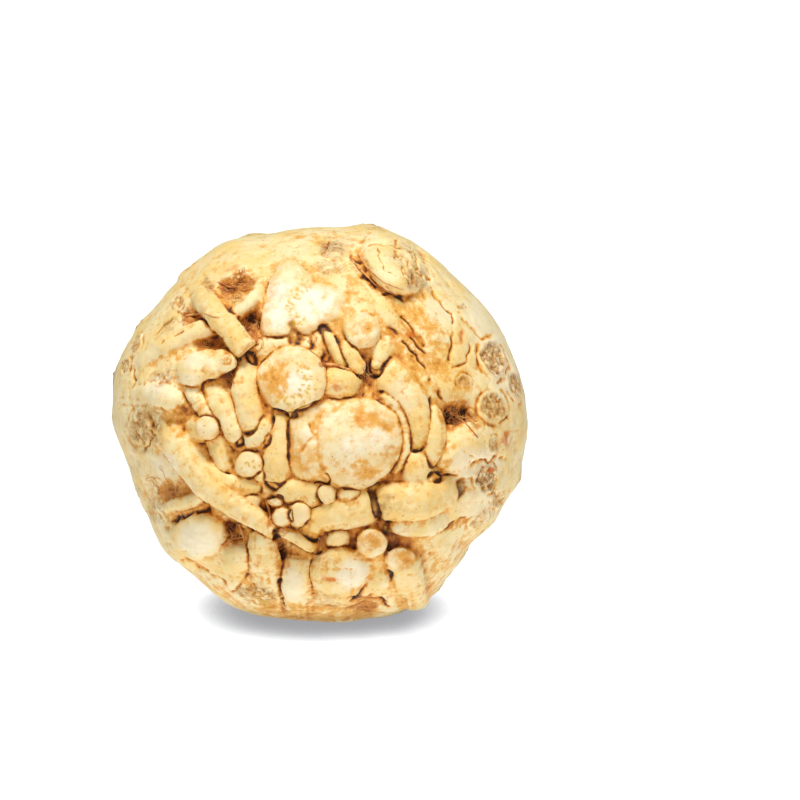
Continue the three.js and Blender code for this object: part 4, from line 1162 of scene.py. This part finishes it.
def root_material(look):
    material = bpy.data.materials.new("celeriac skin")
    s = Shader(material)
    colour = {name: linear(getattr(look, name)) for name in look.COLOURS}
    face, cork, pale = s.attribute("face"), s.attribute("cork"), s.attribute("pale")
    blotch, mottle, grain = s.noise(9, 4), s.noise(2.6, 4, 0.65), s.noise(0.8, 3, 0.6)

    # Skin: cream, warmer in blotches, greener and duller towards the crown
    skin = s.mix(s.ramp(blotch, 0.38, 0.66), colour["cream"], colour["buff"])
    warm = s.times(s.attribute("tone"), s.ramp(mottle, 0.3, 0.7, 0.1, 0.9))
    skin = s.mix(warm, skin, colour["straw"])
    green = s.times(s.attribute("back"), s.ramp(blotch, 0.3, 0.6, 0.45, 0.95))
    skin = s.mix(green, skin, colour["green"])
    skin = s.mix(s.times(s.attribute("crown"), 0.5), skin, colour["stalk"])
    skin = s.mix(s.times(pale, 0.8), skin, colour["flesh"])

    # Cut faces: pale flesh with a browned ring inside the rim
    flesh = s.mix(s.ramp(mottle, 0.4, 0.75, 0, 0.7), colour["flesh"], colour["straw"])
    ring = s.times(s.ramp(s.attribute("rim"), 0.55, 0.95), s.ramp(mottle, 0.3, 0.7, 0.15, 0.8))
    flesh = s.mix(ring, flesh, colour["gold"])
    bare = s.math("MAXIMUM", pale, s.times(s.attribute("crown"), 0.6))
    skin = s.mix(s.times(face, s.ramp(bare, 0, 0.8, 0.35, 0.9)), skin, flesh)

    # Stains and painted shade: the deeper between the roots, where the shade is painted, and the more
    # stained, the browner, in uneven steps
    rough_age = s.math("ADD", s.ramp(mottle, 0.2, 0.8, -0.22, 0.28),
                       s.ramp(grain, 0.3, 0.75, -0.08, 0.14))
    rough_age = s.times(rough_age, s.ramp(face, 0, 1, 1, 0.55))
    stain_and_shade = s.math("ADD", s.attribute("stain_and_shade"), rough_age)
    stain_and_shade = s.math("ADD", stain_and_shade, s.ramp(s.attribute("strings"), 0.1, 0.9, 0.1, -0.08))
    skin = s.mix(s.ramp(stain_and_shade, 0.06, 0.46, 0, 0.95), skin, colour["gold"])
    skin = s.mix(s.ramp(stain_and_shade, 0.4, 0.8), skin, colour["ochre_and_shade"])
    skin = s.mix(s.ramp(stain_and_shade, 0.74, 1.1), skin, colour["umber_and_shade"])
    speck = s.times(s.ramp(s.noise(0.7, 2, 0.5), 0.66, 0.74), s.ramp(mottle, 0.4, 0.65, 0.1, 0.8))
    skin = s.mix(s.times(speck, s.ramp(pale, 0.2, 0.8, 1, 0.3)), skin, colour["umber_and_shade"])

    # Rings of short brown pores towards the crown, and the skin browned around them
    around = s.rings(3.4)
    back = s.attribute("back")
    rows = s.ramp(s.noise(7, 2, 0.5, s.rings(6)), 0.46, 0.62)
    pores = s.times(s.ramp(s.noise(0.8, 2, 0.5, around), 0.6, 0.68), rows)
    skin = s.mix(s.times(back, s.times(rows, s.ramp(mottle, 0.4, 0.7, 0, 0.5))), skin,
                 colour["gold"])
    skin = s.mix(s.times(pores, s.ramp(back, 0.2, 0.8, 0.1, 0.75)), skin, colour["cork_dark"])

    # Cork: grey brown, broken by darker fissures
    rough = s.mix(s.ramp(s.noise(1.4, 4, 0.7), 0.38, 0.62), colour["cork"], colour["cork_dark"])
    skin = s.mix(s.times(cork, s.ramp(mottle, 0.38, 0.56, 0.1, 0.85)), skin, rough)

    # Flecks, rust spots, and painted shade: the cracks between the roots and the deepest hollows darkened
    # to the fissure colour
    skin = s.mix(s.attribute("fleck"), skin, colour["fleck"])
    skin = s.mix(s.times(s.attribute("rust"), s.ramp(mottle, 0.3, 0.6, 0.4, 1)), skin, colour["rust"])
    painted_shade = s.times(s.ramp(s.attribute("crack"), 0.5, 1), s.ramp(blotch, 0.35, 0.65, 0.2, 0.9))
    painted_shade = s.math("MAXIMUM", painted_shade, s.ramp(stain_and_shade, 1.15, 1.5))
    skin = s.mix(painted_shade, skin, colour["fissure"])

    s.set(s.surface.inputs["Base Color"], skin)
    s.set(s.surface.inputs["Roughness"], s.ramp(cork, 0, 1, 0.55, 0.9))
    s.set(s.surface.inputs["Specular IOR Level"], 0.35)
    for name, value in FLESH_GLOW.items():
        s.set(s.surface.inputs[name], value)
    wrinkles = s.times(s.noise(1.6, 3, 0.6, around), s.ramp(back, 0, 0.6, 0.2, 1.4))
    height = s.math("ADD", s.times(grain, 0.6), s.times(s.noise(0.3, 2), 0.4))
    height = s.math("SUBTRACT", s.math("ADD", height, wrinkles), s.times(pores, back))
    s.bump(height, 0.6, 0.4)
    return material


def fibre_material(look):
    material = bpy.data.materials.new("root fibre")
    s = Shader(material)
    shade = s.ramp(s.noise(2.5, 2), 0.3, 0.7)
    s.set(s.surface.inputs["Base Color"], s.mix(shade, linear(look.fibre), linear(look.fibre_light)))
    s.set(s.surface.inputs["Roughness"], 0.75)
    s.bump(s.noise(0.4, 2), 0.3, 0.1)
    return material


class RootSizes(bpy.types.PropertyGroup):
    """How finely the root is made."""
    voxel: bpy.props.FloatProperty(
        name="Skin step", description="Size of the grid that fuses the roots, in millimetres",
        default=0.42, min=0.3, max=2)
    triangles: bpy.props.IntProperty(
        name="Triangles", description="Most triangles in the finished skin", default=190000, min=20000)
    fibre_radius: bpy.props.FloatProperty(
        name="Fibre radius", description="Radius of a fine root fibre",
        default=0.00009, unit="LENGTH", subtype="DISTANCE")
    fibre_length: bpy.props.FloatProperty(
        name="Fibre length", description="Usual length of a fine root fibre",
        default=0.0056, unit="LENGTH", subtype="DISTANCE")


def colour_property(name, description, default):
    return bpy.props.FloatVectorProperty(
        name=name, description=description, default=default, size=3, min=0, max=1, subtype="COLOR_GAMMA")


class RootLook(bpy.types.PropertyGroup):
    """The colours of the root, as they look in a picture."""
    COLOURS = ("cream", "buff", "straw", "green", "stalk", "flesh", "gold", "ochre_and_shade", "cork",
               "cork_dark", "umber_and_shade", "fissure", "rust", "fleck")
    cream: colour_property("Cream", "Palest skin", (0.99, 0.915, 0.72))
    buff: colour_property("Buff", "Warmer skin", (0.97, 0.85, 0.57))
    straw: colour_property("Straw", "Warm tone of some roots", (0.96, 0.79, 0.44))
    green: colour_property("Green", "Skin towards the crown", (0.83, 0.78, 0.53))
    stalk: colour_property("Stalk", "Leaf stalk stumps", (0.74, 0.74, 0.42))
    flesh: colour_property("Flesh", "Cut flesh", (1.0, 0.955, 0.86))
    gold: colour_property("Gold", "Golden stains", (0.92, 0.67, 0.28))
    # Ochre: stains, and painted shade in the creases between the roots
    ochre_and_shade: colour_property("Ochre", "Worn creases", (0.79, 0.49, 0.15))
    cork: colour_property("Cork", "Corky scars", (0.8, 0.63, 0.42))
    cork_dark: colour_property("Dark cork", "Darker cork", (0.54, 0.36, 0.19))
    # Umber: stains and brown specks, and painted shade in the hollows between the roots. Fissure: painted
    # shade in the cracks and the deepest hollows
    umber_and_shade: colour_property("Umber", "Hollows between the roots", (0.5, 0.26, 0.06))
    fissure: colour_property("Fissure", "Cracks", (0.2, 0.1, 0.04))
    rust: colour_property("Rust", "Orange spots", (0.85, 0.46, 0.14))
    fleck: colour_property("Fleck", "Yellow flecks in the cut faces", (0.87, 0.7, 0.2))
    fibre: colour_property("Fibre", "Fine root fibres", (0.72, 0.38, 0.15))
    fibre_light: colour_property("Light fibre", "Paler fibres", (0.95, 0.73, 0.43))


class StageLook(bpy.types.PropertyGroup):
    """The plain studio around the root."""
    key: bpy.props.FloatProperty(
        name="Key light", description="Power of the main light", default=21, unit="POWER")
    fill: bpy.props.FloatProperty(
        name="Fill light", description="Power of the fill light", default=5.5, unit="POWER")
    sky: bpy.props.FloatProperty(
        name="Sky", description="Strength of the even light", default=0.1, min=0)
    floor_glow: bpy.props.FloatProperty(
        name="Floor glow", description="How much the floor lights the root", default=1.15, min=0)


def add_piece(name, mesh, material):
    """Puts a finished mesh in the scene as a piece of the root's one body."""
    mesh.name = name
    mesh.materials.clear()
    mesh.materials.append(material)
    piece = placed(name, mesh)
    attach(piece, "root")
    return piece


class CELERIAC_OT_root(bpy.types.Operator):
    """Makes the root: body, side roots, cut faces, lumps and crown, fused into one skin"""
    bl_idname = "celeriac.root"
    bl_label = "Root"

    def execute(self, context):
        sizes, look = context.scene.celeriac_sizes, context.scene.celeriac_look
        made = growths()
        tones = np.random.default_rng(SEEDS["tones"]).uniform(0.1, 0.95, len(made))
        skin = grow_mesh(made, sizes.voxel)
        keep = carve_and_paint(skin, made, tones)
        skin = thin_out(skin, keep, sizes.triangles)
        set_points(skin, lay_down(mesh_points(skin)))
        skin.shade_smooth()
        piece = add_piece("celeriac_skin", skin, root_material(look))
        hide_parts("celeriac_root")
        return {"FINISHED"}


def depth_at(point):
    """How far a point in the frame lies below the plain root end, in millimetres."""
    cos, sin = math.cos(LAID_BACK), math.sin(LAID_BACK)
    x, y, z = (point[i] / MM - CENTRE[i] for i in range(3))
    return root_end_height(x, y * cos + z * sin) - (z * cos - y * sin)


def draped(points, tree, lift):
    """The points, given as x and y, laid on the skin below them and lifted off it."""
    out = Vector((0, -math.sin(LAID_BACK), math.cos(LAID_BACK)))
    high = lay_down(np.column_stack((points, np.full(len(points), 90.0))))
    path = []
    for start, rise in zip(high, lift):
        spot, _, _, _ = tree.ray_cast(Vector(start), -out)
        if spot is not None:
            path.append(spot + out * rise * MM)
    return path


class CELERIAC_OT_fibres(bpy.types.Operator):
    """Lays the fine root fibres and loose strands in the hollows between the roots"""
    bl_idname = "celeriac.fibres"
    bl_label = "Root fibres"

    def execute(self, context):
        sizes, look = context.scene.celeriac_sizes, context.scene.celeriac_look
        skin = bpy.data.objects["celeriac_skin"]
        tree = BVHTree.FromObject(skin, context.evaluated_depsgraph_get())
        draw = np.random.default_rng(SEEDS["fibres"])
        curve = bpy.data.curves.new("fibres", "CURVE")
        curve.dimensions = "3D"
        curve.bevel_depth = sizes.fibre_radius
        curve.bevel_resolution = 0
        curve.use_fill_caps = True

        def lay(points, lift, thickness, deeper_than):
            path = draped(points, tree, lift)
            if len(path) < 4 or min(depth_at(path[0]), depth_at(path[-1])) <= deeper_than:
                return
            between = [(a + 2 * b + c) / 4 for a, b, c in zip(path, path[1:], path[2:])]
            path = [path[0], *between, path[-1]]
            spline = curve.splines.new("POLY")
            spline.points.add(len(path) - 1)
            for i, point in enumerate(path):
                spline.points[i].co = (*point, 1)
                spline.points[i].radius = thickness * (1 - 0.6 * i / (len(path) - 1))

        for x, y, half_width, half_height, count in FIBRE_SPOTS:
            for _ in range(2 * count):
                start = np.array((x, y)) + draw.uniform(-1, 1, 2) * (half_width, half_height)
                heading = draw.uniform(0, 2 * math.pi)
                steps = draw.integers(9, 15)
                step = sizes.fibre_length / MM * draw.uniform(0.6, 1.4) / steps
                turns = heading + np.cumsum(draw.normal(0, 0.8, steps))
                turns += draw.normal(0, 0.2) * np.arange(steps)
                walk = start + step * np.cumsum(np.column_stack((np.cos(turns), np.sin(turns))), axis=0)
                arch = 0.1 + draw.uniform(0.1, 0.8) * np.sin(np.linspace(0, math.pi, steps))
                lay(walk, arch, draw.uniform(0.7, 1.6), FIBRES_BELOW)
        for points, radius in STRANDS:
            knots = np.array(points, float)
            spots = np.linspace(0, len(knots) - 1, 4 * len(knots))
            walk = np.column_stack([np.interp(spots, np.arange(len(knots)), column) for column in knots.T])
            walk += draw.normal(0, 0.12, walk.shape)
            lay(walk, np.full(len(walk), 0.6 * radius), radius * MM / sizes.fibre_radius, -FAR)

        mesh = made_plain(placed("drawn", curve))
        bpy.data.curves.remove(curve)
        add_piece("root_fibres", mesh, fibre_material(look))
        return {"FINISHED"}


# The camera stands off this far and sees this width of the scene at the root's middle
CAMERA = {"away": 6.0, "width": 0.240, "sensor": 36, "aim_across": 24, "aim_up": 7.5}
FLOOR = {
    "half_width": 6, "shadow_reach": 0.012, "shadow": (0.6, 0.6, 0.61), "shade_from": 0.1,
    "shade_to": 0.8, "samples": 6,
}
LIGHTS = {
    "key": {"at": (-0.08, -0.25, 1.5), "size": 0.6, "colour": (1, 1, 1)},
    "fill": {"at": (0.3, -1.45, 0.5), "size": 0.9, "colour": (1, 0.9, 0.74)},
}


class CELERIAC_OT_stage(bpy.types.Operator):
    """Sets out the floor, the soft lights and the camera"""
    bl_idname = "celeriac.stage"
    bl_label = "Stage"

    def execute(self, context):
        scene, look = context.scene, context.scene.celeriac_stage
        bm = bmesh.new()
        bmesh.ops.create_grid(bm, x_segments=1, y_segments=1, size=FLOOR["half_width"])
        mesh = bpy.data.meshes.new("floor")
        bm.to_mesh(mesh)
        bm.free()
        material = bpy.data.materials.new("white floor")
        s = Shader(material)
        s.set(s.surface.inputs["Base Color"], (0.0, 0.0, 0.0))
        s.set(s.surface.inputs["Roughness"], 1.0)
        s.set(s.surface.inputs["Specular IOR Level"], 0.0)
        # The floor glows evenly white, and its shadow under the root is painted: the glow turns to the
        # shadow colour where ambient occlusion finds the root close by
        openness = s.tree.nodes.new("ShaderNodeAmbientOcclusion")
        openness.samples = FLOOR["samples"]
        openness.inputs["Distance"].default_value = FLOOR["shadow_reach"]
        shade = s.ramp(openness.outputs["AO"], FLOOR["shade_from"], FLOOR["shade_to"])
        s.set(s.surface.inputs["Emission Color"], s.mix(shade, linear(FLOOR["shadow"]), (1.0, 1.0, 1.0)))
        s.set(s.surface.inputs["Emission Strength"], look.floor_glow)
        mesh.materials.append(material)
        placed("floor", mesh)

        world = bpy.data.worlds.new("white studio")
        world.use_nodes = True
        background = world.node_tree.nodes["Background"]
        background.inputs["Color"].default_value = (1, 1, 1, 1)
        background.inputs["Strength"].default_value = look.sky
        scene.world = world

        centre = Vector(CENTRE) * MM
        for name, power in (("key", look.key), ("fill", look.fill)):
            light = bpy.data.lights.new(name, "AREA")
            light.energy = power
            light.shape = "DISK"
            light.size = LIGHTS[name]["size"]
            light.color = LIGHTS[name]["colour"]
            lamp = placed(name, light)
            lamp.location = LIGHTS[name]["at"]
            lamp.rotation_euler = (centre - lamp.location).to_track_quat("-Z", "Y").to_euler()

        lean = math.radians(LEAN)
        up = Vector((0, math.sin(lean), math.cos(lean)))
        toward = Vector((0, -math.cos(lean), math.sin(lean)))
        aim = centre + (Vector((1, 0, 0)) * CAMERA["aim_across"] + up * CAMERA["aim_up"]) * MM
        camera = bpy.data.cameras.new("camera")
        camera.sensor_width = CAMERA["sensor"]
        camera.lens = CAMERA["sensor"] * CAMERA["away"] / CAMERA["width"]
        camera.clip_end = 20
        viewer = placed("camera", camera)
        viewer.location = aim + toward * CAMERA["away"]
        viewer.rotation_euler = (-toward).to_track_quat("-Z", "Y").to_euler()
        scene.camera = viewer
        scene.view_settings.view_transform = "Standard"
        return {"FINISHED"}


class CELERIAC_PT_panel(bpy.types.Panel):
    """Lists the pieces and their sizes and colours"""
    bl_label = "Celeriac root"
    bl_idname = "CELERIAC_PT_panel"
    bl_space_type = "VIEW_3D"
    bl_region_type = "UI"
    bl_category = "Celeriac"

    def draw(self, context):
        layout = self.layout
        for operator in ("celeriac.root", "celeriac.fibres", "celeriac.stage"):
            layout.operator(operator)
        scene = context.scene
        for settings in (scene.celeriac_sizes, scene.celeriac_look, scene.celeriac_stage):
            for name in settings.bl_rna.properties.keys():
                if name not in ("rna_type", "name"):
                    layout.prop(settings, name)


CLASSES = (
    RootSizes, RootLook, StageLook, CELERIAC_OT_root, CELERIAC_OT_fibres, CELERIAC_OT_stage,
    CELERIAC_PT_panel,
)


def register():
    for item in CLASSES:
        bpy.utils.register_class(item)
    bpy.types.Scene.celeriac_sizes = bpy.props.PointerProperty(type=RootSizes)
    bpy.types.Scene.celeriac_look = bpy.props.PointerProperty(type=RootLook)
    bpy.types.Scene.celeriac_stage = bpy.props.PointerProperty(type=StageLook)


def unregister():
    del bpy.types.Scene.celeriac_stage
    del bpy.types.Scene.celeriac_look
    del bpy.types.Scene.celeriac_sizes
    for item in reversed(CLASSES):
        bpy.utils.unregister_class(item)


def main():
    register()
    bpy.ops.celeriac.stage()
    bpy.ops.celeriac.root()
    bpy.ops.celeriac.fibres()


if __name__ == "__main__":
    main()
